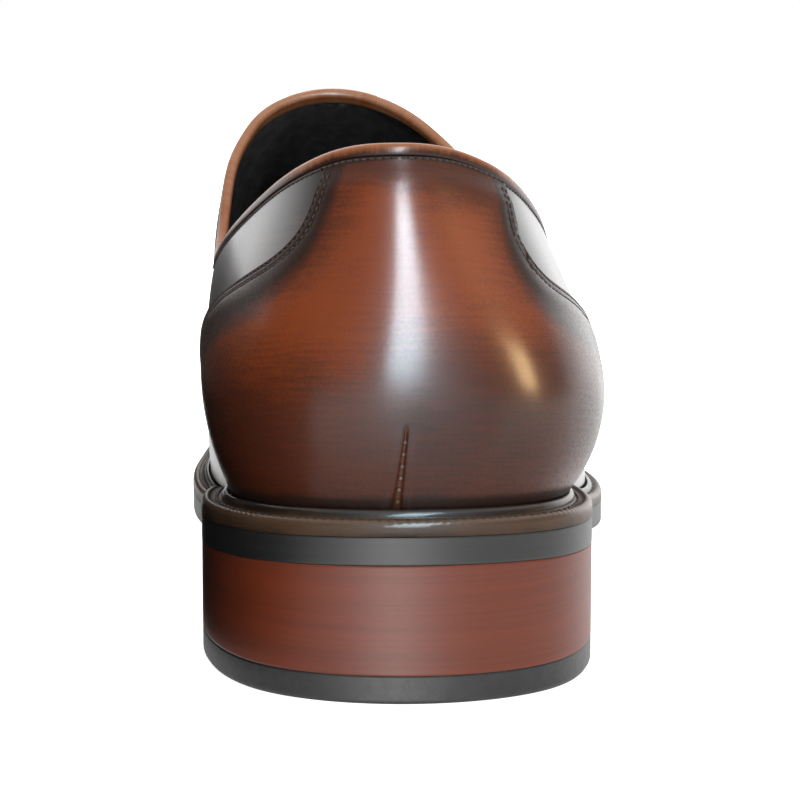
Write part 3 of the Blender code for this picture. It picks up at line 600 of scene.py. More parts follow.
def lay_net(name, net, marks=None, round_closed=False, rows_closed=False, fill=False, level_row=0):
    """A grid primitive laid over a net of points with metric UVs and named marks, merged and turned outwards.

    V of the UV map is 0 along level_row.
    """
    def closed(values):
        if round_closed:
            values = np.concatenate([values, values[:, :1]], axis=1)
        return np.concatenate([values, values[:1]]) if rows_closed else values

    net = closed(net)
    rows, columns = net.shape[:2]
    pick()
    bpy.ops.mesh.primitive_grid_add(x_subdivisions=columns - 1, y_subdivisions=rows - 1, size=1.0)
    piece = bpy.context.object
    piece.name = name
    mesh = piece.data
    mesh.name = name
    if len(mesh.vertices) != rows * columns:
        raise RuntimeError(f"{name}: the grid has {len(mesh.vertices)} points and the net {rows * columns}")
    mesh.vertices.foreach_set("co", place(net).astype(np.float32).ravel())
    round_way = np.linalg.norm(np.diff(net, axis=1), axis=2).mean(axis=0)
    u = np.broadcast_to(np.concatenate([[0.0], np.cumsum(round_way)]), (rows, columns))
    up_way = np.linalg.norm(np.diff(net, axis=0), axis=2)
    v = np.vstack([np.zeros(columns), np.cumsum(up_way, axis=0)])
    v = v - v[level_row]
    uv = np.stack([u, v], axis=2).reshape(-1, 2) * MM
    corner = np.zeros(len(mesh.loops), dtype=np.int32)
    mesh.loops.foreach_get("vertex_index", corner)
    mesh.uv_layers[0].uv.foreach_set("vector", uv[corner].astype(np.float32).ravel())
    for key, value in (marks or {}).items():
        mark = mesh.attributes.new(key, "FLOAT", "POINT")
        mark.data.foreach_set("value", closed(value).astype(np.float32).ravel())
    edit_mesh(piece, merge_doubles, *([close_ends] if fill else []), turn_outwards)
    bpy.ops.object.shade_smooth()
    return piece


def thicken(piece, thickness):
    """Gives an open skin its thickness, inwards, in millimetres."""
    bpy.context.view_layer.objects.active = piece
    layer = piece.modifiers.new("wall", "SOLIDIFY")
    layer.thickness = thickness * MM
    layer.offset = -1.0
    bpy.ops.object.modifier_apply(modifier=layer.name)


def join(name, pieces):
    """Several pieces as one mesh."""
    pick(*pieces)
    bpy.ops.object.join()
    joined = bpy.context.object
    joined.name = name
    joined.data.name = name
    return joined


def hand_over(piece, material, slot, *nodes):
    """Gives a finished piece its material and its body, and hides the solids it stands for. The slot is not
    used.
    """
    piece.data.materials.clear()
    piece.data.materials.append(material)
    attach(piece, "root")
    if nodes:
        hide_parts(*nodes)
    return piece


# Shader helpers

def put(tree, kind, inputs=None, **settings):
    """Adds a node with its settings, each input a value or a socket to link."""
    item = tree.nodes.new(kind)
    for name, value in settings.items():
        setattr(item, name, value)
    for key, value in (inputs or {}).items():
        if isinstance(value, bpy.types.NodeSocket):
            tree.links.new(value, item.inputs[key])
        else:
            item.inputs[key].default_value = value
    return item


def toned(colour, share):
    """A colour made lighter or darker."""
    return tuple(share * value for value in colour)


def solid(colour):
    """A colour as a socket takes it."""
    return colour if isinstance(colour, bpy.types.NodeSocket) else (*colour, 1.0)


def mixed(tree, factor, first, second):
    """Colour between two colours."""
    inputs = {0: factor, 6: solid(first), 7: solid(second)}
    return put(tree, "ShaderNodeMix", inputs, data_type="RGBA").outputs[2]


def maths(tree, operation, first, second, clamp=False):
    """One sum."""
    return put(tree, "ShaderNodeMath", {0: first, 1: second}, operation=operation, use_clamp=clamp).outputs[0]


def noise(tree, where, scale, detail, roughness=0.5):
    """Cloudy pattern."""
    inputs = {"Vector": where, "Scale": scale, "Detail": detail, "Roughness": roughness}
    return put(tree, "ShaderNodeTexNoise", inputs).outputs["Fac"]


def swing(tree, mask, amount):
    """A mask turned into a swing to both sides of nothing."""
    return maths(tree, "MULTIPLY", maths(tree, "SUBTRACT", mask, 0.5), amount)


def ramped(tree, value, low, high, to_low=0.0, to_high=1.0):
    """Soft ramp of a value between two limits."""
    inputs = {"Value": value, "From Min": low, "From Max": high, "To Min": to_low, "To Max": to_high}
    return put(tree, "ShaderNodeMapRange", inputs, interpolation_type="SMOOTHSTEP").outputs["Result"]


def marked(tree, name):
    """A named mark of the mesh."""
    return put(tree, "ShaderNodeAttribute", attribute_name=name).outputs["Fac"]


def new_group(name, inputs, outputs):
    """An empty shader group with named sockets; returns the group, its way in and its way out."""
    group = bpy.data.node_groups.new(name, "ShaderNodeTree")
    for way, sockets in (("INPUT", inputs), ("OUTPUT", outputs)):
        for socket, kind in sockets.items():
            group.interface.new_socket(name=socket, in_out=way, socket_type="NodeSocket" + kind)
    return group, put(group, "NodeGroupInput").outputs, put(group, "NodeGroupOutput").inputs


def make_grain_group():
    """Fine leather grain: pores and pebbles as a height, and the same as a speckle mask."""
    group, given, made = new_group(
        "leather_grain", {"Vector": "Vector", "Scale": "Float"}, {"Height": "Float", "Speckle": "Float"}
    )
    fine = noise(group, given["Vector"], given["Scale"], 3.0)
    cells_scale = maths(group, "MULTIPLY", given["Scale"], 1.3)
    cells = put(group, "ShaderNodeTexVoronoi", {"Vector": given["Vector"], "Scale": cells_scale})
    pebble = ramped(group, cells.outputs["Distance"], 0.1, 0.7, 1.0, 0.0)
    height = maths(group, "ADD", maths(group, "MULTIPLY", pebble, 0.5), fine)
    group.links.new(height, made["Height"])
    group.links.new(ramped(group, fine, 0.35, 0.68), made["Speckle"])


def make_streak_group():
    """Brushed streaks: long thin lines that run along U of the piece's own UV map."""
    group, given, made = new_group(
        "brush_streaks", {"Vector": "Vector", "Along": "Float", "Across": "Float"}, {"Streak": "Float"}
    )
    stretch = put(group, "ShaderNodeCombineXYZ", {"X": given["Along"], "Y": given["Across"], "Z": 1.0})
    laid = put(
        group, "ShaderNodeVectorMath", {0: given["Vector"], 1: stretch.outputs[0]}, operation="MULTIPLY"
    ).outputs[0]
    lines = noise(group, laid, 1.0, 4.0, 0.6)
    group.links.new(ramped(group, lines, 0.36, 0.66), made["Streak"])



def make_burnish_group():
    """Burnish: light leather through its middle tone to the dark edges."""
    tones = {"Light": "Color", "Middle": "Color", "Dark": "Color"}
    group, given, made = new_group("burnish", {**tones, "Amount": "Float"}, {"Color": "Color"})
    first = ramped(group, given["Amount"], 0.0, 0.5)
    second = ramped(group, given["Amount"], 0.42, 0.95)
    warm = mixed(group, first, given["Light"], given["Middle"])
    group.links.new(mixed(group, second, warm, given["Dark"]), made["Color"])


def group_node(tree, name, inputs):
    """Places a shared group in a material."""
    return put(tree, "ShaderNodeGroup", inputs, node_tree=bpy.data.node_groups[name]).outputs


def streaks(tree, where, along, across):
    """Brushed streaks over the piece's own UV map."""
    inputs = {"Vector": where["UV"], "Along": along, "Across": across}
    return group_node(tree, "brush_streaks", inputs)["Streak"]


def grained(tree, shader, where, scale, smoothest, roughest):
    """Fine grain that varies the shader's roughness between two values; returns its masks."""
    pores = group_node(tree, "leather_grain", {"Vector": where["Object"], "Scale": scale})
    uneven = ramped(tree, pores["Speckle"], 0.0, 1.0, smoothest, roughest)
    tree.links.new(uneven, shader.inputs["Roughness"])
    return pores


def new_finish(name, **constants):
    """A material with one shader and its constants; returns material, tree, shader and coordinates."""
    material = bpy.data.materials.new(name)
    material.use_nodes = True
    tree = material.node_tree
    shader = tree.nodes["Principled BSDF"]
    for key, value in constants.items():
        shader.inputs[key.replace("_", " ")].default_value = value
    where = put(tree, "ShaderNodeTexCoord").outputs
    return material, tree, shader, where


def bump(tree, shader, height, depth):
    """Feeds a height, in millimetres at most, to the shader's normal."""
    item = put(tree, "ShaderNodeBump", {"Strength": 1.0, "Distance": depth * MM, "Height": height})
    tree.links.new(item.outputs["Normal"], shader.inputs["Normal"])


CALF_GRAIN = 2000.0
EDGE_GRAIN = 2200.0
PATCH_SCALE = 90.0


def leather_finish(name, tones, spread, streak, along=45.0, across=1300.0, speckle=0.06, depth=0.012,
                   roughness=0.36, gloss=0.3, coat=0.4, coat_roughness=0.12, raw=None, matte=False):
    """Burnished calf in three tones: marks say where it darkens, streaks, patches and grain vary it."""
    material, tree, shader, where = new_finish(
        name, Roughness=roughness, Specular_IOR_Level=gloss, Coat_Weight=coat, Coat_Roughness=coat_roughness
    )
    pores = grained(tree, shader, where, CALF_GRAIN, roughness - 0.42 * speckle, roughness + 0.58 * speckle)
    patches = noise(tree, where["Object"], PATCH_SCALE, 3.0)
    patch = ramped(tree, patches, 0.3, 0.7, -0.5 * spread, 0.5 * spread)
    # The burnish mark is the leather's tone; on the counter and the binding it also carries painted shade and
    # painted light.
    amount = maths(tree, "ADD", marked(tree, "burnish"), patch)
    amount = maths(tree, "ADD", amount, swing(tree, streaks(tree, where, along, across), streak))
    amount = maths(tree, "ADD", amount, swing(tree, pores["Speckle"], speckle), clamp=True)
    colours = dict(zip(("Light", "Middle", "Dark"), map(solid, tones)))
    colour = group_node(tree, "burnish", {**colours, "Amount": amount})["Color"]
    if raw:
        colour = mixed(tree, marked(tree, "dart"), colour, raw)
    tree.links.new(colour, shader.inputs["Base Color"])
    if matte:
        glossy = maths(tree, "SUBTRACT", 1.0, marked(tree, "matte"))
        tree.links.new(maths(tree, "MULTIPLY", glossy, coat), shader.inputs["Coat Weight"])
    bump(tree, shader, pores["Height"], depth)
    return material


def plain_look(name, colour, dark, grain, depth, roughness):
    """Plain dyed leather, rubber or thread: two close tones in patches and a fine grain."""
    material, tree, shader, where = new_finish(name, Roughness=roughness)
    patch = ramped(tree, noise(tree, where["Object"], 0.25 * grain, 4.0), 0.35, 0.65)
    tree.links.new(mixed(tree, patch, colour, dark), shader.inputs["Base Color"])
    pores = grained(tree, shader, where, grain, roughness - 0.02, roughness + 0.03)
    bump(tree, shader, pores["Height"], depth)
    return material


def layered_edge(name, colour, dark, line_scale, line_depth, roughness, gloss, line_tone):
    """Trimmed and inked edge: fine lines along the layers, read from the piece's own UV map."""
    material, tree, shader, where = new_finish(name, Roughness=roughness, Specular_IOR_Level=gloss)
    fine = maths(tree, "MULTIPLY", streaks(tree, where, 18.0, line_scale), 0.55)
    broad = maths(tree, "MULTIPLY", streaks(tree, where, 9.0, 0.24 * line_scale), 0.45)
    lines = maths(tree, "ADD", fine, broad)
    tone = maths(tree, "MULTIPLY", lines, line_tone)
    tree.links.new(mixed(tree, tone, colour, dark), shader.inputs["Base Color"])
    pores = grained(tree, shader, where, EDGE_GRAIN, roughness - 0.01, roughness + 0.015)
    height = maths(tree, "ADD", lines, maths(tree, "MULTIPLY", pores["Height"], 0.08))
    bump(tree, shader, height, line_depth)
    return material


# The sizes and colours a user would change

def colour_setting(title, words, default):
    """A colour setting."""
    return bpy.props.FloatVectorProperty(
        name=title, description=words, subtype="COLOR", size=3, min=0.0, max=1.0, default=default
    )


def size_setting(title, words, default, least=0.0, most=10000.0, unit="NONE"):
    """A size or a power setting."""
    return bpy.props.FloatProperty(
        name=title, description=words, default=default, min=least, max=most, unit=unit
    )


class LoaferColours(bpy.types.PropertyGroup):
    """Colours of the leathers, threads and rubber."""

    # The counter's dark tone also paints the shade above the welt and in a band halfway up the back.
    counter_light: colour_setting("Counter light", "Brushed middle of the counter", (0.212, 0.042, 0.009))
    counter_middle: colour_setting("Counter middle", "Counter on the way to its edges", (0.077, 0.018, 0.007))
    counter_dark: colour_setting("Counter dark", "Burnished edge of the counter", (0.022, 0.0095, 0.006))
    upper_light: colour_setting("Upper light", "Brushed middle of the vamp", (0.10, 0.034, 0.014))
    upper_middle: colour_setting("Upper middle", "Vamp on the way to its edges", (0.045, 0.016, 0.008))
    upper_dark: colour_setting("Upper dark", "Burnished quarters and toe", (0.011, 0.006, 0.0045))
    # The binding's dark tone also paints shade along the quarters, and its light tone paints light on the
    # throat and inside the flange.
    binding_light: colour_setting("Binding light", "Binding round the throat", (0.370, 0.165, 0.080))
    binding_middle: colour_setting("Binding middle", "Binding over the heel", (0.260, 0.084, 0.028))
    binding_dark: colour_setting("Binding dark", "Edges of the collar binding", (0.034, 0.011, 0.006))
    lining: colour_setting("Lining", "Leather inside the shoe", (0.066, 0.066, 0.070))
    welt: colour_setting("Welt", "Welt leather", (0.062, 0.033, 0.017))
    outsole: colour_setting("Outsole", "Inked sole edge", (0.014, 0.0145, 0.015))
    stack: colour_setting("Heel stack", "Painted heel block", (0.168, 0.029, 0.008))
    stack_line: colour_setting("Heel lines", "Darker lines in the heel block", (0.072, 0.014, 0.006))
    lift: colour_setting("Top lift", "Rubber under the heel", (0.014, 0.0145, 0.0155))
    thread: colour_setting("Thread", "Thread of the seams", (0.062, 0.040, 0.034))
    welt_thread: colour_setting("Welt thread", "Thread in the welt's groove", (0.045, 0.022, 0.014))
    pinhole: colour_setting("Pinhole", "Shadow in the needle holes", (0.006, 0.004, 0.003))
    dart_thread: colour_setting("Dart thread", "Thread that closes the dart", (0.20, 0.135, 0.10))
    raw_leather: colour_setting("Raw leather", "Cut leather inside the dart", (0.085, 0.027, 0.013))
    floor: colour_setting("Floor", "Pale floor", (0.92, 0.92, 0.92))


class LoaferSizes(bpy.types.PropertyGroup):
    """Sizes of the stitching and the studio."""

    stitch_pitch: size_setting("Stitch pitch", "Step from stitch to stitch, in mm", 1.35, 0.8, 4.0)
    thread_width: size_setting("Thread width", "Width of the seam thread, in mm", 0.45, 0.2, 1.2)
    lens: size_setting("Lens", "Focal length of the camera", 118.0, 20.0, unit="CAMERA")
    surround: size_setting("Surround", "Brightness of the white surround", 1.0)
    front_light: size_setting("Front light", "Power of the soft box behind the camera", 5.5, unit="POWER")
    gloss_light: size_setting("Gloss light", "Power of the strip for the highlight", 36.0, unit="POWER")
    crest_light: size_setting("Crest light", "Power of the box over the highlight's top", 17.0, unit="POWER")
    heel_light: size_setting("Heel light", "Power of the strip for the heel block", 12.0, unit="POWER")
    warm_light: size_setting("Warm light", "Power of the warm strip at the side", 6.4, unit="POWER")


def tones_of(colours, part):
    """The light, middle and dark colour of a burnished part."""
    return [getattr(colours, f"{part}_{tone}") for tone in ("light", "middle", "dark")]


def settings(context):
    """The scene's own settings of this add-on."""
    return context.scene.loafer_colours, context.scene.loafer_sizes


# Pieces

UPPER_COLUMNS = ((0.09, 34), (0.45, 76), (THROAT_SHARE, 40), (TOE_POLE_SHARE, 70), (1.0, 24))
UPPER_ROWS = ((0.05, 4), (0.93, 42), (1.0, 12))
LINING_COLUMNS = ((0.45, 50), (THROAT_SHARE, 30), (TOE_POLE_SHARE, 40), (1.0, 16))
LINING_ROWS = ((0.93, 24), (1.0, 4))
LINING_THICKNESS = 0.85
LINING_PLAY = 0.1
RIM_STEPS = 400

# Burnish of the upper over its plain share: what a band is measured by, its strength, full at and gone at
UPPER_PLAIN = 0.30
UPPER_BURNISH = (
    ("round", 0.50, 0.30, 0.58),
    ("welt", 0.55, 0.0, 16.0),
    ("collar", 0.40, 1.0, 9.0),
    ("station", 0.62, 282.0, 215.0),
    ("collar", 0.60, 0.3, 1.6),
)


def upper_net(columns, rows):
    """Net over the upper's outer face, with its shares of the way round."""
    share, rise = np.meshgrid(spaced(*columns), spaced(*rows))
    return both_sides(*(wall(share, rise, side) for side in SIDE_SIGN)), both_sides(share, share)


def collar_edge():
    """Leather edge of the collar as a dense closed run."""
    share = np.linspace(0.0, THROAT_SHARE, RIM_STEPS)
    return round_trip(*(topline(share, side)[0] for side in SIDE_SIGN))


class LOAFER_OT_upper(bpy.types.Operator):
    """Builds the upper's leather shell and its lining"""

    bl_idname = "loafer.upper"
    bl_label = "Upper and lining"

    def execute(self, context):
        colours, _ = settings(context)
        net, share = upper_net(UPPER_COLUMNS, UPPER_ROWS)
        places = {
            "round": share,
            "welt": net[:, :, 2] - net[:1, :, 2],
            "collar": nearest(net, collar_edge()),
            "station": net[:, :, 1],
        }
        burnish = sum(bands(UPPER_BURNISH, places), UPPER_PLAIN)
        skin = lay_net("upper_leather_shell", net, {"burnish": burnish}, round_closed=True)
        thicken(skin, WALL - LINING_THICKNESS - LINING_PLAY)
        material = leather_finish(
            "upper_calf", tones_of(colours, "upper"),
            spread=0.22, streak=0.2, speckle=0.03, depth=0.0004, coat=0.5, coat_roughness=0.2,
        )
        hand_over(skin, material, "upper_leather", "upper")
        net, _ = upper_net(LINING_COLUMNS, LINING_ROWS)
        lining = lay_net("lining", net, round_closed=True)
        inset = (WALL - LINING_THICKNESS) * MM
        edit_mesh(lining, lambda: bpy.ops.transform.shrink_fatten(value=-inset))
        thicken(lining, LINING_THICKNESS)
        dark = toned(colours.lining, 0.6)
        material = plain_look("lining_leather", colours.lining, dark, 1700.0, 0.03, 0.52)
        hand_over(lining, material, "insole_leather")
        return {"FINISHED"}


def counter_edge(base, side):
    """Share and rise of the counter's upper edge over its columns."""
    return [steady_curve(COUNTER["base"], COUNTER[side + name], base) for name in ("_share", "_rise")]


def seam_line(side):
    """The counter's stitched edge on one side: points, way along, way out and way into the counter."""
    base = np.linspace(SEAM_START, COUNTER["base"][-1], SEAM_STEPS)
    share, rise = counter_edge(base, side)
    points, _, out, _ = wall_frame(share, rise, side)
    way = unit(np.gradient(points, axis=0))
    inside = unit(np.cross(out, way)) * -SIDE_SIGN[side]
    return points, way, out, inside


COUNTER_SPANS = ((0.016, 22), (SEAM_START, 20), (0.150, 60), (COUNTER["base"][-1], 56))
COUNTER_ROWS = ((0.30, 36), (0.86, 26), (0.955, 8), (1.0, 14))
SEAM_ROWS = (0.95, 2.10)
COUNTER_UNDER = 0.12
SEAM_STEPS = 900

# Bands of the counter that darken it or take its gloss: measured by, strength, full at and gone at
COUNTER_BURNISH_AND_SHADE = (
    ("seam", 0.46, 2.0, 15.0),
    ("collar_band", 0.58, 0.0, 1.0),
    ("collar", 0.95, 0.4, 1.8),
    # Darker towards the bottom of the counter, fading out between 40 and 70 mm up.
    ("height", 0.55, 40.0, 70.0),
    # Painted shade: the lowest 6 mm above the welt, where the counter turns under, go to the dark tone.
    ("welt", 1.00, 1.2, 5.8),
)
COUNTER_MATTE = (
    ("collar", 0.90, 1.2, 12.0),
    ("welt", 1.00, 1.2, 5.8),
    ("height", 0.72, 34.0, 54.0),
)


def counter_height(to_seam, to_collar):
    """Lift of the counter over the upper: a rounded edge, two stitch channels and a skived top."""
    full = GAP + COUNTER_THICKNESS
    edge = smooth_step(to_seam, -0.35, 0.55)
    lift = COUNTER_UNDER + (full - COUNTER_UNDER) * edge
    for row in SEAM_ROWS:
        lift = lift - 0.16 * hump(to_seam, row, 0.28)
    lift = lift + 0.10 * hump(to_seam, 4.2, 1.6)
    skived = smooth_step(to_collar, 0.0, 5.0)
    return np.maximum(lift * (0.34 + 0.66 * skived), COUNTER_UNDER)


def counter_skin():
    """Net over the upper under the counter: points, ways out, distances to the seam and shares round."""
    base = spaced(*COUNTER_SPANS)
    step = spaced(*COUNTER_ROWS)[:, None]
    halves = []
    for side in SIDE_SIGN:
        edge_share, edge_rise = counter_edge(base, side)
        share = base + (edge_share - base) * step
        points, _, out, _ = wall_frame(share, edge_rise * step, side)
        halves.append((points, out, nearest(points, seam_line(side)[0]), share))
    return [np.concatenate([medial[:, :0:-1], lateral], axis=1) for lateral, medial in zip(*halves)]


def dart_middle(height):
    """How far down the dart a height lies, and where the dart's middle line is there."""
    down = (DART_TOP_HEIGHT - height) / (DART_TOP_HEIGHT - DART_LOW_HEIGHT)
    return down, DART_TOP_ACROSS + (DART_LOW_ACROSS - DART_TOP_ACROSS) * down


def dart_relief(points):
    """The dart's slit and the lips beside it, as masks."""
    down, middle = dart_middle(points[:, :, 2])
    at_back = points[:, :, 1] < HEEL_CENTRE_STATION * LENGTH
    away = np.where(at_back, np.abs(points[:, :, 0] - middle), BALL_WIDTH)
    half = DART_TOP_HALF + (DART_LOW_HALF - DART_TOP_HALF) * np.clip(down, 0.0, 1.2)
    below = smooth_step(down, -0.04, 0.10)
    slit = below * fade(away, 0.45 * half, 1.05 * half)
    return slit, below * np.clip(down, 0.0, 1.0) * hump(away, half + 1.1, 0.9)


def counter_marks(points, floor, to_seam, to_collar, share):
    """Where the counter darkens and where it loses its gloss."""
    across, height = points[:, :, 0], points[:, :, 2]
    seam_band = to_seam / (1.0 + 0.9 * fade(height, 52.0, 80.0))
    places = {
        "seam": to_seam,
        "collar": to_collar,
        "collar_band": (to_collar - 1.0) / (8.0 + 5.0 * smooth_step(across, -4.0, 6.0)),
        "height": height,
        "welt": height - floor,
    }
    seam_dark = 0.06 + 0.92 * fade(seam_band, 3.0, 7.0)
    burnish = np.maximum.reduce([seam_dark, *bands(COUNTER_BURNISH_AND_SHADE, places)])
    # Painted shade: a dark band about 51 mm up the back and lateral side, between the lit top of the counter
    # and the sheen below.
    burnish = burnish + 0.25 * hump(height, 51.0, 14.0) * smooth_step(across, -12.0, 2.0)
    # Darker towards both sides of the counter: partly burnish, partly painted shade where the other shoe of
    # the pair shades the medial side.
    burnish = np.clip(burnish + 0.42 * smooth_step(share, 0.085, 0.24), 0.0, 1.0)
    seam_matte = fade(seam_band, 4.0, 9.0) * (1.0 - 0.75 * smooth_step(across, 15.0, 23.0))
    lateral = smooth_step(across, -5.0, 3.0) * fade(across, 12.0, 20.0)
    low_matte = 0.62 * fade(height, 46.0, 62.0) * lateral
    return burnish, np.maximum.reduce([seam_matte, low_matte, *bands(COUNTER_MATTE, places)])


class LOAFER_OT_counter(bpy.types.Operator):
    """Builds the stitched-on counter with its dart"""

    bl_idname = "loafer.counter"
    bl_label = "Heel counter"

    def execute(self, context):
        colours, _ = settings(context)
        points, out, to_seam, share = counter_skin()
        to_collar = nearest(points, collar_edge())
        slit, lip = dart_relief(points)
        lift = counter_height(to_seam, to_collar) - DART_DEPTH * slit + DART_LIP * lip
        outer = points + out * np.maximum(lift, COUNTER_UNDER + 0.05)[:, :, None]
        floor = seat(outer[:, :, 1]) + GAP
        outer[:, :, 2] = np.maximum(outer[:, :, 2], floor)
        inner = points + out * COUNTER_UNDER
        burnish, matte = counter_marks(points, floor, to_seam, to_collar, share)
        marks = {
            "burnish": np.concatenate([burnish, burnish[::-1]]),
            "matte": np.concatenate([matte, matte[::-1]]),
            "dart": np.concatenate([slit, slit[::-1] * 0.0]),
        }
        net = np.concatenate([outer, inner[::-1]])
        piece = lay_net("counter_leather_cover", net, marks, rows_closed=True, fill=True)
        material = leather_finish(
            "counter_calf", tones_of(colours, "counter"),
            spread=0.10, streak=0.12, along=90.0, across=1600.0, speckle=0.12, depth=0.006, roughness=0.42,
            gloss=0.14, coat=0.55, coat_roughness=0.21, raw=colours.raw_leather, matte=True,
        )
        hand_over(piece, material, "counter_leather", "heel_counter")
        return {"FINISHED"}


# Ends of the binding's section, from its middle: across towards the inside, rise, and burnish. The dark foot
# is partly burnish, partly painted shade under the roll; the pale first rows of the flange are painted light
# inside the throat.
BINDING_FOOT = ((-0.86, -1.32, 1.0), (-1.00, -0.98, 0.85), (-1.08, -0.50, 0.60))
BINDING_FLANGE = (
    (1.12, -0.60, 0.05), (1.13, -1.20, 0.05), (1.10, -1.80, 0.05), (0.98, -2.15, 0.30), (0.84, -2.05, 0.80),
    (0.80, -1.40, 0.80), (0.10, -1.28, 0.90),
)
BINDING_SPANS = ((0.425, 120), (THROAT_SHARE, 70))
CROWN_STEPS = 15
# Painted light: the binding is a little darker behind these shares round the collar, so the throat stays
# paler as if lit from above.
THROAT_PAINTED_LIGHT = (0.36, 0.50)
FLANGE_LEAST = 0.25
FLANGE_DEEPENS = (0.47, 0.54)


def collar_rim(share):
    """Leather edge of the whole collar, with its way out of the leather and its way inwards."""
    top_run = []
    out_run = []
    slope = float(ridge_slope(np.array([THROAT_SHARE]))[0])
    up_ridge = np.array([0.0, -math.cos(slope), math.sin(slope)])
    for side in SIDE_SIGN:
        _, lean = topline(share, side)
        _, _, high, top = sections(share, side)
        turn = np.clip((np.degrees(lean) - 15.0) / 60.0, 0.0, 1.0)[:, None]
        top_run.append(top)
        out_run.append(unit(top - high) * (1.0 - turn) + up_ridge * turn)
    top = round_trip(*top_run)
    out = round_trip(*out_run)
    way = unit(np.roll(top, -1, axis=0) - np.roll(top, 1, axis=0))
    out = unit(out - way * np.sum(out * way, axis=1)[:, None])
    return top, out, np.cross(out, way)


def binding_section():
    """The binding's section from its outer foot over the crown to the flange: across, rise and burnish."""
    turn = np.linspace(math.pi, 0.0, CROWN_STEPS)
    crown = np.column_stack([0.5 * BINDING_WIDTH * np.cos(turn), 0.5 * BINDING_HEIGHT * np.sin(turn)])
    # Painted light and shade of the roll: pale over the crown's top, darker down its sides.
    crown = np.column_stack([crown, 0.40 - 0.34 * np.sin(turn)])
    rows = np.vstack([BINDING_FOOT, crown, BINDING_FLANGE])
    return rows[:, 0], rows[:, 1], rows[:, 2]


class LOAFER_OT_binding(bpy.types.Operator):
    """Builds the rolled binding of the collar"""

    bl_idname = "loafer.binding"
    bl_label = "Collar binding"

    def execute(self, context):
        colours, _ = settings(context)
        share = spaced(*BINDING_SPANS)
        round_share = round_trip(share, share)
        top, out, inwards = collar_rim(share)
        centre = top + out * (GAP + 0.5 * BINDING_HEIGHT) + inwards * (0.5 * WALL)
        across, rise, tone = binding_section()
        deep = smooth_step(round_share, *FLANGE_DEEPENS)
        depth = FLANGE_LEAST + (1.0 - FLANGE_LEAST) * deep
        flange = len(rise) - len(BINDING_FLANGE)
        rise = np.repeat(rise[:, None], len(depth), axis=1)
        start = rise[flange]
        rise[flange:-1] = start + (rise[flange:-1] - start) * depth
        net = centre[None] + inwards[None] * across[:, None, None] + out[None] * rise[:, :, None]
        # Painted shade: the binding darkens towards its dark tone along the quarters on both sides, about 70
        # mm from the back.
        painted_side_shade = hump(np.linalg.norm(top[:, :2] - top[0, :2], axis=1), 70.0, 34.0)
        burnish = tone[:, None] + 0.60 * painted_side_shade + 0.12 * fade(round_share, *THROAT_PAINTED_LIGHT)
        piece = lay_net("collar_binding_roll", net, {"burnish": burnish}, round_closed=True, rows_closed=True)
        material = leather_finish(
            "binding_calf", tones_of(colours, "binding"),
            spread=0.3, streak=0.14, along=900.0, across=60.0, gloss=0.2, coat=0.14, coat_roughness=0.28,
        )
        hand_over(piece, material, "binding_leather", "collar_binding")
        return {"FINISHED"}


WELT_STEPS = 1000
PLATE_STEPS = 150
HEEL_STEPS = 90
BREAST_STEPS = 30
BREAST_BOW = 2.6
SOCK_CLEARANCE = 1.0
SOCK_BEVEL = 0.5


def ground(forward):
    """Height of the floor at a station."""
    return np.zeros(len(forward))


def sock_edge(station, side):
    """Inset of the insole's foot from the sole edge, at a share of the length."""
    return feather(station, side) + WALL + SOCK_CLEARANCE


def sock_top_edge(station, side):
    """Inset of the insole's top from the sole edge, at a share of the length."""
    return sock_edge(station, side) + SOCK_BEVEL


# Edges of the plates from the underside to the top: inset from the sole edge, what the height is measured
# from, and the rise above it. Rows close to each corner keep the flat sides flat in the light.
OUTSOLE_SECTION = (
    (0.25, underside, 0.0), (0.10, underside, 0.08), (0.05, underside, 0.25), (0.05, underside, 0.60),
    (0.05, welt_bottom, -0.44), (0.05, welt_bottom, -0.16), (0.09, welt_bottom, -0.07),
    (0.20, welt_bottom, -0.04),
)
INSOLE_SECTION = (
    (sock_edge, seat, GAP), (sock_edge, seat, GAP + INSOLE_THICKNESS - SOCK_BEVEL),
    (sock_top_edge, seat, GAP + INSOLE_THICKNESS),
)
STACK_SECTION = (
    (0.16, ground, TOP_LIFT_HEIGHT + 0.02), (0.08, ground, TOP_LIFT_HEIGHT + 0.07),
    (0.08, ground, TOP_LIFT_HEIGHT + 0.42), (0.08, underside, -0.42), (0.08, underside, -0.07),
    (0.16, underside, -0.02),
)
LIFT_SECTION = (
    (0.90, ground, 0.0), (0.40, ground, 0.15), (0.10, ground, 0.60), (0.10, ground, 0.95),
    (0.10, ground, TOP_LIFT_HEIGHT - 0.40), (0.10, ground, TOP_LIFT_HEIGHT - 0.06),
    (0.16, ground, TOP_LIFT_HEIGHT),
)


def welt_net():
    """Net round the welt, one column per step round the shoe and rows over its section, and its marks."""
    share = np.linspace(0.0, 1.0, WELT_STEPS + 1)
    rows = []
    for kind, across, rise, burnish, matte, notch in WELT_SECTION:
        insets = {
            "edge": across,
            "leather": lambda station, side, out=across: ledge(station, side) - out,
            "reach": WELT_REACH,
        }
        sides = []
        for side in SIDE_SIGN:
            plan = sole_edge(side, share, insets[kind])
            length = run_lengths(SIDES[side])[-1]
            wheel = NOTCH_DEPTH * notch * np.cos(math.pi * share * length / NOTCH_PITCH) ** 6
            height = welt_bottom(plan[:, 1]) + rise - wheel
            marks = np.tile((burnish, matte), (len(share), 1))
            sides.append(np.column_stack([plan, height, marks]))
        rows.append(round_trip(*sides))
    net = round_rows(np.array(rows), 2)
    return net[:, :, :3], {"burnish": net[:, :, 3], "matte": net[:, :, 4]}


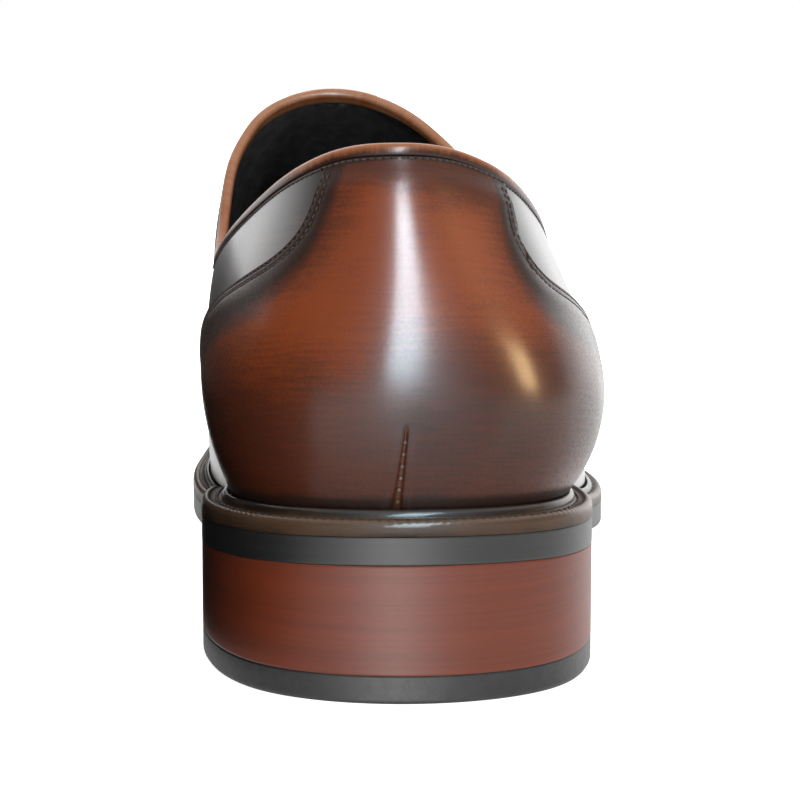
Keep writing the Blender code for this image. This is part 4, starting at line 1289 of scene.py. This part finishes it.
def plate_net(section, end_share, steps):
    """Net over a plate: its underside from the middle out, its edge, and its top back to the middle.

    The loop starts at the front, so that the seam of the UV map stays away from the back of the heel.
    """
    share = np.linspace(0.0, 1.0, steps + 1) * end_share
    edges = []
    spines = []
    for inset, base, rise in section:
        lateral, medial = (sole_edge(side, share, inset) for side in SIDE_SIGN)
        if end_share < 1.0:
            lateral[-1, 1] = HEEL_BREAST * LENGTH
            medial[-1, 1] = HEEL_BREAST * LENGTH
        middle = 0.5 * (lateral + medial)
        loop = round_trip(lateral, medial)
        spine = round_trip(middle, middle)
        if end_share < 1.0:
            t = np.linspace(0.0, 1.0, BREAST_STEPS + 1)[1:-1, None]
            breast = lateral[-1] * (1.0 - t) + medial[-1] * t
            breast[:, 1] -= BREAST_BOW * 4.0 * (t * (1.0 - t))[:, 0]
            loop = np.vstack([lateral, breast, medial[:0:-1]])
            spine = np.vstack([middle, np.repeat(middle[-1:], BREAST_STEPS - 1, axis=0), middle[:0:-1]])
        edges.append(np.column_stack([loop, base(loop[:, 1]) + rise]))
        spines.append(np.column_stack([spine, base(spine[:, 1]) + rise]))
    net = np.array([spines[0], *edges, spines[-1]])
    return np.roll(net, net.shape[1] // 2, axis=1)


def lay_plate(name, section, end_share, steps):
    """A plate of the sole or the heel."""
    return lay_net(name, plate_net(section, end_share, steps), round_closed=True, level_row=1)


class LOAFER_OT_sole(bpy.types.Operator):
    """Builds the welt, outsole, heel stack, top lift and insole"""

    bl_idname = "loafer.sole"
    bl_label = "Welt, sole and heel"

    def execute(self, context):
        colours, _ = settings(context)
        net, marks = welt_net()
        welt = lay_net("welt_strip", net, marks, round_closed=True, rows_closed=True)
        welt_tones = (toned(colours.welt, 1.25), colours.welt, toned(colours.welt, 0.22))
        material = leather_finish(
            "welt_leather", welt_tones, spread=0.3, streak=0.2, along=60.0, across=1200.0, roughness=0.5,
            gloss=0.16, coat=0.42, matte=True,
        )
        hand_over(welt, material, "welt_leather", "welt")

        piece = lay_plate("outsole_plate", OUTSOLE_SECTION, 1.0, PLATE_STEPS)
        dark = toned(colours.outsole, 0.45)
        material = layered_edge("inked_sole_edge", colours.outsole, dark, 1400.0, 0.004, 0.46, 0.50, 0.70)
        hand_over(piece, material, "outsole_leather", "outsole")

        piece = lay_plate("insole_sock", INSOLE_SECTION, 1.0, PLATE_STEPS)
        dark = toned(colours.lining, 0.6)
        material = plain_look("sock_leather", colours.lining, dark, 1500.0, 0.04, 0.5)
        hand_over(piece, material, "insole_leather", "insole")

        end = share_of_station(HEEL_BREAST)
        piece = lay_plate("heel_stack_block", STACK_SECTION, end, HEEL_STEPS)
        dark = colours.stack_line
        material = layered_edge("painted_heel", colours.stack, dark, 1100.0, 0.002, 0.47, 0.40, 0.55)
        hand_over(piece, material, "heel_stack_leather", "heel_stack")

        piece = lay_plate("heel_lift_rubber", LIFT_SECTION, end, HEEL_STEPS)
        dark = toned(colours.lift, 0.6)
        material = plain_look("lift_rubber", colours.lift, dark, 1600.0, 0.008, 0.48)
        hand_over(piece, material, "top_lift_rubber", "heel_top_lift")
        return {"FINISHED"}


STITCH_FILL = 0.72
HOLE_WIDTH = 1.05
COLLAR_ROW_DROP = 0.5
COLLAR_ROW_END = 0.53
COLLAR_ROW_STEPS = 700
WELT_ROW_STEPS = 1500
WELT_THREAD_RISE = 2.6
WELT_STITCH_PITCH = 2.6
DART_STITCH_PITCH = 2.0
DART_STITCH_START = 2.4
DART_STITCH_LIFT = 0.12

# Length, width and height of the stitches in the welt's groove and in the dart
WELT_STITCH = (2.1, 0.8, 0.55)
DART_STITCH = (0.75, 0.66, 0.45)


def model_stitch():
    """One stitch, modelled once: a short rounded thread of unit size, as points and faces."""
    pick()
    bpy.ops.mesh.primitive_uv_sphere_add(segments=8, ring_count=5, radius=0.5)
    bead = bpy.context.object
    turn = {"value": math.pi / 2, "orient_axis": "Y", "center_override": (0, 0, 0)}
    edit_mesh(bead, lambda: bpy.ops.transform.rotate(**turn))
    points = np.array([vertex.co for vertex in bead.data.vertices])
    faces = [tuple(face.vertices) for face in bead.data.polygons]
    bpy.data.objects.remove(bead, do_unlink=True)
    return points, faces


def sew(name, stitch, rows, material, slot):
    """Copies of the stitch along rows of points, ways along, ways out and a size, as one mesh."""
    shape, faces = stitch
    vertices = []
    loops = []
    for points, way, out, (length, width, height) in rows:
        side = unit(np.cross(out, way))
        for here, ahead, across, up in zip(points, way, side, out):
            start = len(vertices) * len(shape)
            local = shape[:, :1] * ahead * length + shape[:, 1:2] * across * width
            vertices.append(here + (local + shape[:, 2:] * up * height))
            loops += [tuple(start + index for index in face) for face in faces]
    mesh = bpy.data.meshes.new(name)
    mesh.from_pydata([tuple(point) for point in place(np.vstack(vertices))], [], loops)
    piece = bpy.data.objects.new(name, mesh)
    bpy.context.scene.collection.objects.link(piece)
    edit_mesh(piece, turn_outwards)
    bpy.ops.object.shade_smooth()
    return hand_over(piece, material, slot)


def stitch_row(points, way, out, pitch, size):
    """A row of stitches at an even pitch along a run, with their ways along and out and their size."""
    along = run_lengths(points)
    at = np.arange(0.5 * pitch, along[-1], pitch)
    where, ahead, outwards = (read_run(at, along, run) for run in (points, way, out))
    return where, unit(ahead), unit(outwards), size


def seam_stitch(pitch, width):
    """Length, width and height of a seam's stitch."""
    return STITCH_FILL * pitch, width, 0.8 * width


def seam_rows(pitch, width):
    """The two rows of stitches along the counter's edge, on both sides."""
    rows = []
    edge = collar_edge()
    for side in SIDE_SIGN:
        points, way, out, inside = seam_line(side)
        for offset in SEAM_ROWS:
            laid = points + inside * offset
            to_collar = nearest(laid, edge)
            usable = (points[:, 2] > seat(points[:, 1]) + 4.0) & (to_collar > 1.5)
            lift = counter_height(np.full(len(laid), offset), to_collar)
            run = (laid + out * (lift + 0.02)[:, None])[usable]
            rows.append(stitch_row(run, way[usable], out[usable], pitch, seam_stitch(pitch, width)))
    return rows


def collar_rows(pitch, width):
    """The row of stitches under the binding, over the counter at the back and over the quarters elsewhere."""
    rows = []
    share = np.linspace(0.0, COLLAR_ROW_END, COLLAR_ROW_STEPS)
    for side in SIDE_SIGN:
        _, _, _, speed = wall_frame(share, np.full(len(share), 0.999), side)
        points, _, out, _ = wall_frame(share, 1.0 - COLLAR_ROW_DROP / speed, side)
        covered = share < COUNTER[side + "_share"][SEAM_START_ROW]
        lift = np.where(covered, counter_height(BALL_WIDTH, COLLAR_ROW_DROP), 0.05)
        way = unit(np.gradient(points, axis=0))
        rows.append(stitch_row(points + out * lift[:, None], way, out, pitch, seam_stitch(pitch, width)))
    return rows


def pinhole_shades(rows, pitch, width):
    """Painted shade in the needle holes of stitch rows: a near-black bead sunk at the end of every stitch."""
    holes = []
    for points, way, out, (_, _, height) in rows:
        sunk = points + way * (0.5 * pitch) - out * (0.35 * height)
        holes.append((sunk, way, out, (HOLE_WIDTH * width, HOLE_WIDTH * width, height)))
    return holes


def groove_middle(station, side):
    """Inset of the middle of the welt's groove from the sole edge, at a share of the length."""
    return 0.5 * (1.75 + ledge(station, side) - 1.55)


def welt_rows():
    """The stitches in the welt's groove."""
    rows = []
    for side in SIDE_SIGN:
        plan = sole_edge(side, np.linspace(0.0, 1.0, WELT_ROW_STEPS), groove_middle)
        points = np.column_stack([plan, welt_bottom(plan[:, 1]) + WELT_THREAD_RISE])
        way = unit(np.gradient(points, axis=0))
        rows.append(stitch_row(points, way, np.tile(UP, (len(points), 1)), WELT_STITCH_PITCH, WELT_STITCH))
    return rows


def dart_rows():
    """The small stitches that close the dart, standing in its slit."""
    height = np.arange(DART_TOP_HEIGHT - DART_STITCH_START, DART_LOW_HEIGHT, -DART_STITCH_PITCH)
    rise = np.linspace(0.0, 0.6, 400)
    middle, up, out, _ = wall_frame(np.zeros(len(rise)), rise, "lateral")
    way, outwards = (unit(read_run(height, middle[:, 2], run)) for run in (up, out))
    station = np.interp(height, middle[:, 2], middle[:, 1])
    points = np.column_stack([dart_middle(height)[1], station, height])
    lift = GAP + COUNTER_THICKNESS - DART_DEPTH + DART_STITCH_LIFT
    return [(points + outwards * lift, way, outwards, DART_STITCH)]


class LOAFER_OT_stitches(bpy.types.Operator):
    """Sews the counter's seams, the collar, the welt and the dart"""

    bl_idname = "loafer.stitches"
    bl_label = "Stitches"

    def execute(self, context):
        colours, sizes = settings(context)
        stitch = model_stitch()
        pitch, width = sizes.stitch_pitch, sizes.thread_width
        dark = toned(colours.thread, 0.45)
        thread = plain_look("waxed_thread", colours.thread, dark, 6000.0, 0.05, 0.68)
        dark = toned(colours.welt_thread, 0.45)
        buried = plain_look("welt_thread", colours.welt_thread, dark, 6000.0, 0.05, 0.55)
        dark = toned(colours.pinhole, 0.5)
        hole_shade = plain_look("needle_hole", colours.pinhole, dark, 3000.0, 0.01, 0.8)
        dark = toned(colours.dart_thread, 0.55)
        pale = plain_look("dart_thread", colours.dart_thread, dark, 6000.0, 0.05, 0.5)
        seams = seam_rows(pitch, width)
        sew("counter_stitches", stitch, seams, thread, "counter_leather")
        sew("counter_pinholes", stitch, pinhole_shades(seams, pitch, width), hole_shade, "counter_leather")
        collar = collar_rows(pitch, width)
        sew("collar_stitches", stitch, collar, thread, "binding_leather")
        sew("collar_pinholes", stitch, pinhole_shades(collar, pitch, width), hole_shade, "binding_leather")
        sew("welt_stitches", stitch, welt_rows(), buried, "welt_leather")
        sew("dart_stitches", stitch, dart_rows(), pale, "counter_leather")
        return {"FINISHED"}


def vamp_finder():
    """Look-up of the upper's height and normal over a plan point, in millimetres."""
    mesh = bpy.data.objects["upper_leather_shell"].data
    points = [vertex.co.copy() for vertex in mesh.vertices]
    tree = BVHTree.FromPolygons(points, [tuple(face.vertices) for face in mesh.polygons])

    def drop(across, forward):
        start = Vector((*place([across, forward, 0.0])[:2], DROP_HEIGHT))
        hit, normal, _, _ = tree.ray_cast(start, Vector((0.0, 0.0, -1.0)))
        return np.array([across, forward, hit.z / MM]), np.array(normal if normal.z > 0.0 else -normal)

    return drop


STRIP_COUNT = 15
INNER_STRIPS = 8
STRIP_THICKNESS = 0.75
HEAD_WRAPS = 5
SKIRT_SEED = 11
DROP_HEIGHT = 0.3
HEAD_START = 0.15
HEAD_LENGTH = 0.26
HEAD_STEPS = 110
HEAD_SIDES = 32
CORE_END = 0.93
STRIP_STEPS = 16
STRIP_FILL = 0.46
THONG_SPREAD = 2.2
KNOT_HALF = 0.3
TIE_SIDES = 28
TIE_SQUARENESS = 0.6

# Layers of a skirt: strips round it, depth as a share of the radius, and reach along the tassel
SKIRT_LAYERS = ((STRIP_COUNT, 1.0, 0.985), (INNER_STRIPS, 0.72, 0.95))

# Section of a strip: place across, and depth as a share of its thickness
STRIP_SECTION = (
    (-1.0, 0.0), (-0.5, 0.04), (0.5, 0.04), (1.0, 0.0), (1.0, 1.0), (0.5, 0.96), (-0.5, 0.96), (-1.0, 1.0)
)


def tassel_line(side, drop, along):
    """Middle line of a tassel on the vamp: places, ways across and up, radii and skirt shares."""
    sign = SIDE_SIGN[side]
    turn_out = math.radians(TASSEL_SPREAD)
    heading = np.array([sign * math.sin(turn_out), math.cos(turn_out)])
    knot_edge = 0.5 * TIE_STRAP_WIDTH + KNOT_EXTRA
    start = np.array([TIE_ACROSS + sign * THONG_SPREAD, TIE_STATION * LENGTH + knot_edge + 0.4])
    radius, strips = (steady_curve(TASSEL["along"], TASSEL[name], along) for name in ("radius", "strips"))
    fall = math.cos(math.radians(TASSEL_FALL))
    centre, acrosses, ups = [], [], []
    for i, at in enumerate(along):
        plan = start + heading * at * TASSEL_LENGTH * fall
        under, normal = drop(*plan)
        ahead, _ = drop(*(plan + heading))
        way = unit(ahead - under)
        up = unit(normal - way * np.dot(normal, way))
        centre.append(under + up * (radius[i] * (1.0 - SKIRT_FLATTEN * strips[i]) + TASSEL_CLEARANCE))
        acrosses.append(np.cross(way, up))
        ups.append(up)
    return np.array(centre), np.array(acrosses), np.array(ups), radius, strips


def tassel_head(name, side, drop):
    """The thong and the wound head of a tassel, with a core that the strips hang round."""
    along = np.linspace(0.0, CORE_END, HEAD_STEPS)
    centre, across, up, radius, strips = tassel_line(side, drop, along)
    wound = smooth_step(along, HEAD_START, 0.19) * fade(along, 0.37, 0.41)
    ring = np.cos((along - HEAD_START) / HEAD_LENGTH * HEAD_WRAPS * 2.0 * math.pi)
    radius = radius * (1.0 + 0.05 * wound * ring)
    radius = radius * (1.0 - 0.42 * smooth_step(along, SKIRT_START, SKIRT_START + 0.05))
    turn = np.linspace(0.0, 2.0 * math.pi, HEAD_SIDES, endpoint=False)
    wide = radius * (1.0 + SKIRT_WIDEN * strips)
    tall = radius * (1.0 - SKIRT_FLATTEN * strips)
    net = centre[:, None] + across[:, None] * (wide[:, None] * np.cos(turn))[:, :, None]
    net = net + up[:, None] * (tall[:, None] * np.sin(turn))[:, :, None]
    burnish = np.broadcast_to((0.35 + 0.4 * smooth_step(along, 0.38, 0.5))[:, None], net.shape[:2])
    return lay_net(name, net, {"burnish": burnish}, round_closed=True, fill=True)


def tassel_strip(name, side, drop, turn, reach, depth, sway):
    """One strip of the skirt: a thin flat thong that flares out from under the head."""
    along = np.linspace(SKIRT_START, reach, STRIP_STEPS)
    centre, across, up, radius, strips = tassel_line(side, drop, along)
    run = (along - SKIRT_START) / (1.0 - SKIRT_START)
    turn = turn + sway * run**2
    half = STRIP_FILL * 2.0 * math.pi / STRIP_COUNT
    corners = []
    for edge, layer in STRIP_SECTION:
        outer = radius * depth - STRIP_THICKNESS * layer
        angle = turn + half * edge
        wide = outer * (1.0 + SKIRT_WIDEN * strips) * np.cos(angle)
        tall = outer * (1.0 - SKIRT_FLATTEN * strips) * np.sin(angle)
        corners.append(centre + across * wide[:, None] + up * tall[:, None])
    net = np.stack(corners, axis=1)
    burnish = np.broadcast_to((0.55 - 0.25 * run)[:, None], net.shape[:2])
    return lay_net(name, net, {"burnish": burnish}, round_closed=True, fill=True)


def tie_net(drop):
    """Net over the tie: a flat strap that dives into the vamp at both ends, with a wound knot between."""
    place_along = np.concatenate([
        np.linspace(-1.0, -0.36, 26), np.linspace(-0.35, 0.35, 64), np.linspace(0.36, 1.0, 26)
    ])
    turn = np.linspace(0.0, 2.0 * math.pi, TIE_SIDES, endpoint=False)
    wide, tall = (np.sign(wave) * np.abs(wave) ** TIE_SQUARENESS for wave in (np.cos(turn), np.sin(turn)))
    rows = []
    for row in place_along:
        under, normal = drop(TIE_ACROSS + row * TIE_HALF_WIDTH, TIE_STATION * LENGTH)
        knot = KNOT_EXTRA * max(0.0, 1.0 - (row / KNOT_HALF) ** 2) ** 0.5
        wound = 1.0 - 0.16 * abs(math.sin(math.pi * 2.5 * row / KNOT_HALF)) ** 6 * (abs(row) < KNOT_HALF)
        sunk = float(smooth_step(abs(row), 0.86, 1.0)) * (TIE_CLEARANCE + TIE_STRAP_THICKNESS)
        half_width = (0.5 * TIE_STRAP_WIDTH + knot) * wound
        half_height = (0.5 * TIE_STRAP_THICKNESS + knot) * wound
        forward = unit(np.array([0.0, 1.0, 0.0]) - normal * normal[1])
        centre = under + normal * (0.5 * TIE_STRAP_THICKNESS + knot + TIE_CLEARANCE * 0.6 - sunk)
        rows.append(centre + np.outer(half_width * wide, forward) + np.outer(half_height * tall, normal))
    return np.array(rows)


class LOAFER_OT_tassels(bpy.types.Operator):
    """Builds the tie and the two tassels on the vamp"""

    bl_idname = "loafer.tassels"
    bl_label = "Tie and tassels"

    def execute(self, context):
        colours, _ = settings(context)
        drop = vamp_finder()
        chance = np.random.default_rng(SKIRT_SEED)
        material = leather_finish(
            "tassel_calf", tones_of(colours, "upper"),
            spread=0.5, streak=0.3, along=120.0, across=700.0, roughness=0.4, coat=0.2, depth=0.04,
        )
        net = tie_net(drop)
        tie = lay_net("tie_knot", net, {"burnish": np.full(net.shape[:2], 0.5)}, round_closed=True, fill=True)
        hand_over(tie, material, "tassel_leather", "tassel_tie")
        for side in ("medial", "lateral"):
            pieces = [tassel_head("head_" + side, side, drop)]
            for count, depth, reach in SKIRT_LAYERS:
                for i in range(count):
                    turn = 2.0 * math.pi * (i + 0.5 * (depth < 1.0)) / count + chance.uniform(-0.05, 0.05)
                    end = reach - chance.uniform(0.0, 0.035)
                    sway = chance.uniform(-0.12, 0.12)
                    pieces.append(tassel_strip("strip", side, drop, turn, end, depth, sway))
            tassel = join("tassel_" + side + "_strips", pieces)
            hand_over(tassel, material, "tassel_leather", "tassel_" + side)
        return {"FINISHED"}


# Studio: camera and lights in the frame's metres

CAMERA_PLACE = (-0.0365, -0.570, 0.1064)
CAMERA_AIM = (-0.0104, -0.150, 0.0507)
SENSOR_WIDTH = 36.0
CLIP_START = 0.01
FLOOR_SIZE = 12.0
SURROUND_FRONT = 0.14
SURROUND_BACK = 2.05
SURROUND_ABOVE = 1.45
SURROUND_RIGHT = 0.50
SURROUND_TURN = 0.40
FLOOR_GLOW = 0.95
FLOOR_MIRRORED = 0.60
STRIP_LEAN = -0.36
SHOE_AIM = (-0.01, -0.14, 0.06)
HEEL_AIM = (0.0, -0.15, 0.014)
WHITE = (1.0, 1.0, 1.0)
COOL = (0.68, 0.88, 1.0)
GOLDEN = (1.0, 0.68, 0.34)
CARD_BLACK = (0.006, 0.005, 0.005)
CARD_DARK = (0.003, 0.003, 0.003)
GLOSS_LIT = ("counter_leather_cover", "collar_binding_roll", "welt_strip", "upper_leather_shell")
HEEL_LIT = ("heel_stack_block", "outsole_plate", "heel_lift_rubber")
WARM_LIT = ("counter_leather_cover",)

# Soft boxes: name, power setting, place, aim, width, height, colour, and the pieces it draws highlights on
SOFT_BOXES = (
    ("front_soft_box", "front_light", (-0.06, -1.40, 0.45), SHOE_AIM, 0.90, 0.80, WHITE, ()),
    ("gloss_strip", "gloss_light", (0.035, -1.35, 0.34), SHOE_AIM, 0.44, 0.74, COOL, GLOSS_LIT),
    ("gloss_crest", "crest_light", (0.22, -1.30, 0.86), SHOE_AIM, 0.50, 0.76, COOL, GLOSS_LIT),
    ("heel_strip", "heel_light", (-0.14, -1.20, -0.20), HEEL_AIM, 0.30, 0.90, WHITE, HEEL_LIT),
    ("warm_strip", "warm_light", (1.14, -0.54, 0.26), SHOE_AIM, 0.24, 0.28, GOLDEN, WARM_LIT),
)

# Dark cards: name, place, length and height
SHADE_CARDS = (
    ("shade_card", (-0.088, 0.06, 0.038), 0.50, 0.076),
    ("heel_card", (-0.049, -0.112, 0.024), 0.084, 0.046),
    ("counter_card", (-0.088, -0.1425, 0.045), 0.051, 0.090),
    ("far_card", (-0.088, 0.66, 0.060), 0.70, 0.120),
)


def point_at(item, target):
    """Turns a camera or a light towards a point."""
    way = Vector(target) - item.location
    item.rotation_mode = "QUATERNION"
    item.rotation_quaternion = way.to_track_quat("-Z", "Y")


def add_soft_boxes(sizes):
    """Soft lights the camera doesn't see: the first fills, the others draw highlights on their pieces."""
    for name, power, location, aim, width, height, colour, lit in SOFT_BOXES:
        light = bpy.data.lights.new(name, "AREA")
        light.shape = "RECTANGLE"
        light.size = width
        light.size_y = height
        light.energy = getattr(sizes, power)
        light.color = colour
        box = bpy.data.objects.new(name, light)
        bpy.context.scene.collection.objects.link(box)
        box.location = location
        point_at(box, aim)
        box.visible_camera = False
        box.visible_glossy = bool(lit)
        box.visible_diffuse = not lit
        if lit:
            box.light_linking.receiver_collection = bpy.data.collections.new(name + "_lights")
        for piece in lit:
            box.light_linking.receiver_collection.objects.link(bpy.data.objects[piece])
    strip = bpy.data.objects["gloss_strip"]
    strip.rotation_quaternion = strip.rotation_quaternion @ Quaternion((0.0, 0.0, 1.0), STRIP_LEAN)
    bpy.data.lights["heel_strip"].use_shadow = False


def make_surround(strength):
    """White studio all round, dimmer on the side the camera stands so the leathers keep their depth."""
    world = bpy.data.worlds.new("white_studio")
    bpy.context.scene.world = world
    world.use_nodes = True
    tree = world.node_tree
    shade = tree.nodes["Background"]
    shade.inputs["Color"].default_value = solid(WHITE)
    way = put(tree, "ShaderNodeTexCoord").outputs["Generated"]
    parts = put(tree, "ShaderNodeSeparateXYZ", {0: way}).outputs
    leftwards = maths(tree, "MAXIMUM", maths(tree, "MULTIPLY", parts["X"], -SURROUND_TURN), 0.0)
    forward = maths(tree, "ADD", parts["Y"], leftwards)
    behind = ramped(tree, forward, 0.20, 0.95, SURROUND_FRONT, SURROUND_BACK)
    above = ramped(tree, parts["Z"], 0.25, 0.75, 0.0, SURROUND_ABOVE)
    glow = maths(tree, "MAXIMUM", behind, above)
    glow = maths(tree, "MULTIPLY", glow, ramped(tree, parts["X"], 0.25, 0.9, 1.0, 1.0 + SURROUND_RIGHT))
    seen = put(tree, "ShaderNodeLightPath").outputs["Is Camera Ray"]
    glow = put(tree, "ShaderNodeMix", {0: seen, 2: glow, 3: 1.0}).outputs[0]
    tree.links.new(maths(tree, "MULTIPLY", glow, strength), shade.inputs["Strength"])


def add_shade_cards():
    """Dark cards beside the shoe that the camera doesn't see, as the darker side of the studio."""
    material = plain_look("card_black", CARD_BLACK, CARD_DARK, 900.0, 0.01, 0.9)
    for name, location, length, height in SHADE_CARDS:
        pick()
        bpy.ops.mesh.primitive_plane_add(size=1.0, location=location, rotation=(0.0, math.pi / 2, 0.0))
        card = bpy.context.object
        card.name = name
        card.scale = (height, length, 1.0)
        card.data.materials.append(material)
        card.visible_camera = False


def floor_finish(colour):
    """Pale seamless paper, faintly mottled, which glows where it is seen so that its shadows stay faint."""
    material, tree, shader, where = new_finish("pale_floor", Roughness=0.6)
    shader.inputs["Emission Color"].default_value = solid(WHITE)
    path = put(tree, "ShaderNodeLightPath").outputs
    seen = maths(tree, "MULTIPLY", path["Is Camera Ray"], FLOOR_GLOW)
    mirrored = maths(tree, "MULTIPLY", path["Is Glossy Ray"], FLOOR_MIRRORED)
    tree.links.new(maths(tree, "ADD", seen, mirrored), shader.inputs["Emission Strength"])
    mottle = ramped(tree, noise(tree, where["Object"], 14.0, 4.0), 0.3, 0.7)
    tree.links.new(mixed(tree, mottle, colour, toned(colour, 0.98)), shader.inputs["Base Color"])
    return material


class LOAFER_OT_stage(bpy.types.Operator):
    """Sets up the floor, the lights and the camera"""

    bl_idname = "loafer.stage"
    bl_label = "Studio"

    def execute(self, context):
        colours, sizes = settings(context)
        pick()
        bpy.ops.mesh.primitive_plane_add(size=FLOOR_SIZE)
        floor = bpy.context.object
        floor.name = "studio_floor"
        floor.data.materials.append(floor_finish(colours.floor))
        add_shade_cards()
        make_surround(sizes.surround)
        add_soft_boxes(sizes)
        camera = bpy.data.objects.new("camera", bpy.data.cameras.new("camera"))
        context.scene.collection.objects.link(camera)
        camera.location = CAMERA_PLACE
        camera.data.sensor_width = SENSOR_WIDTH
        camera.data.lens = sizes.lens
        camera.data.clip_start = CLIP_START
        point_at(camera, CAMERA_AIM)
        context.scene.camera = camera
        context.scene.view_settings.view_transform = "Standard"
        return {"FINISHED"}


OPERATORS = (
    LOAFER_OT_upper,
    LOAFER_OT_counter,
    LOAFER_OT_binding,
    LOAFER_OT_sole,
    LOAFER_OT_stitches,
    LOAFER_OT_tassels,
    LOAFER_OT_stage,
)


class LOAFER_PT_panel(bpy.types.Panel):
    """Lists the loafer's pieces in the sidebar"""

    bl_idname = "LOAFER_PT_panel"
    bl_label = "Tassel loafer"
    bl_space_type = "VIEW_3D"
    bl_region_type = "UI"
    bl_category = "Loafer"

    def draw(self, context):
        for operator in OPERATORS:
            self.layout.operator(operator.bl_idname)
        for group in settings(context):
            for name in group.bl_rna.properties.keys():
                if name not in ("name", "rna_type"):
                    self.layout.prop(group, name)


CLASSES = (LoaferColours, LoaferSizes, *OPERATORS, LOAFER_PT_panel)


def register():
    """Registers the classes and hangs the settings on the scene."""
    for item in CLASSES:
        bpy.utils.register_class(item)
    bpy.types.Scene.loafer_colours = bpy.props.PointerProperty(type=LoaferColours)
    bpy.types.Scene.loafer_sizes = bpy.props.PointerProperty(type=LoaferSizes)


def unregister():
    """Takes the settings and the classes away again."""
    del bpy.types.Scene.loafer_colours
    del bpy.types.Scene.loafer_sizes
    for item in reversed(CLASSES):
        bpy.utils.unregister_class(item)


def main():
    """Builds every piece in order."""
    register()
    make_grain_group()
    make_streak_group()
    make_burnish_group()
    bpy.ops.loafer.upper()
    bpy.ops.loafer.counter()
    bpy.ops.loafer.binding()
    bpy.ops.loafer.sole()
    bpy.ops.loafer.stitches()
    bpy.ops.loafer.tassels()
    bpy.ops.loafer.stage()


if __name__ == "__main__":
    main()
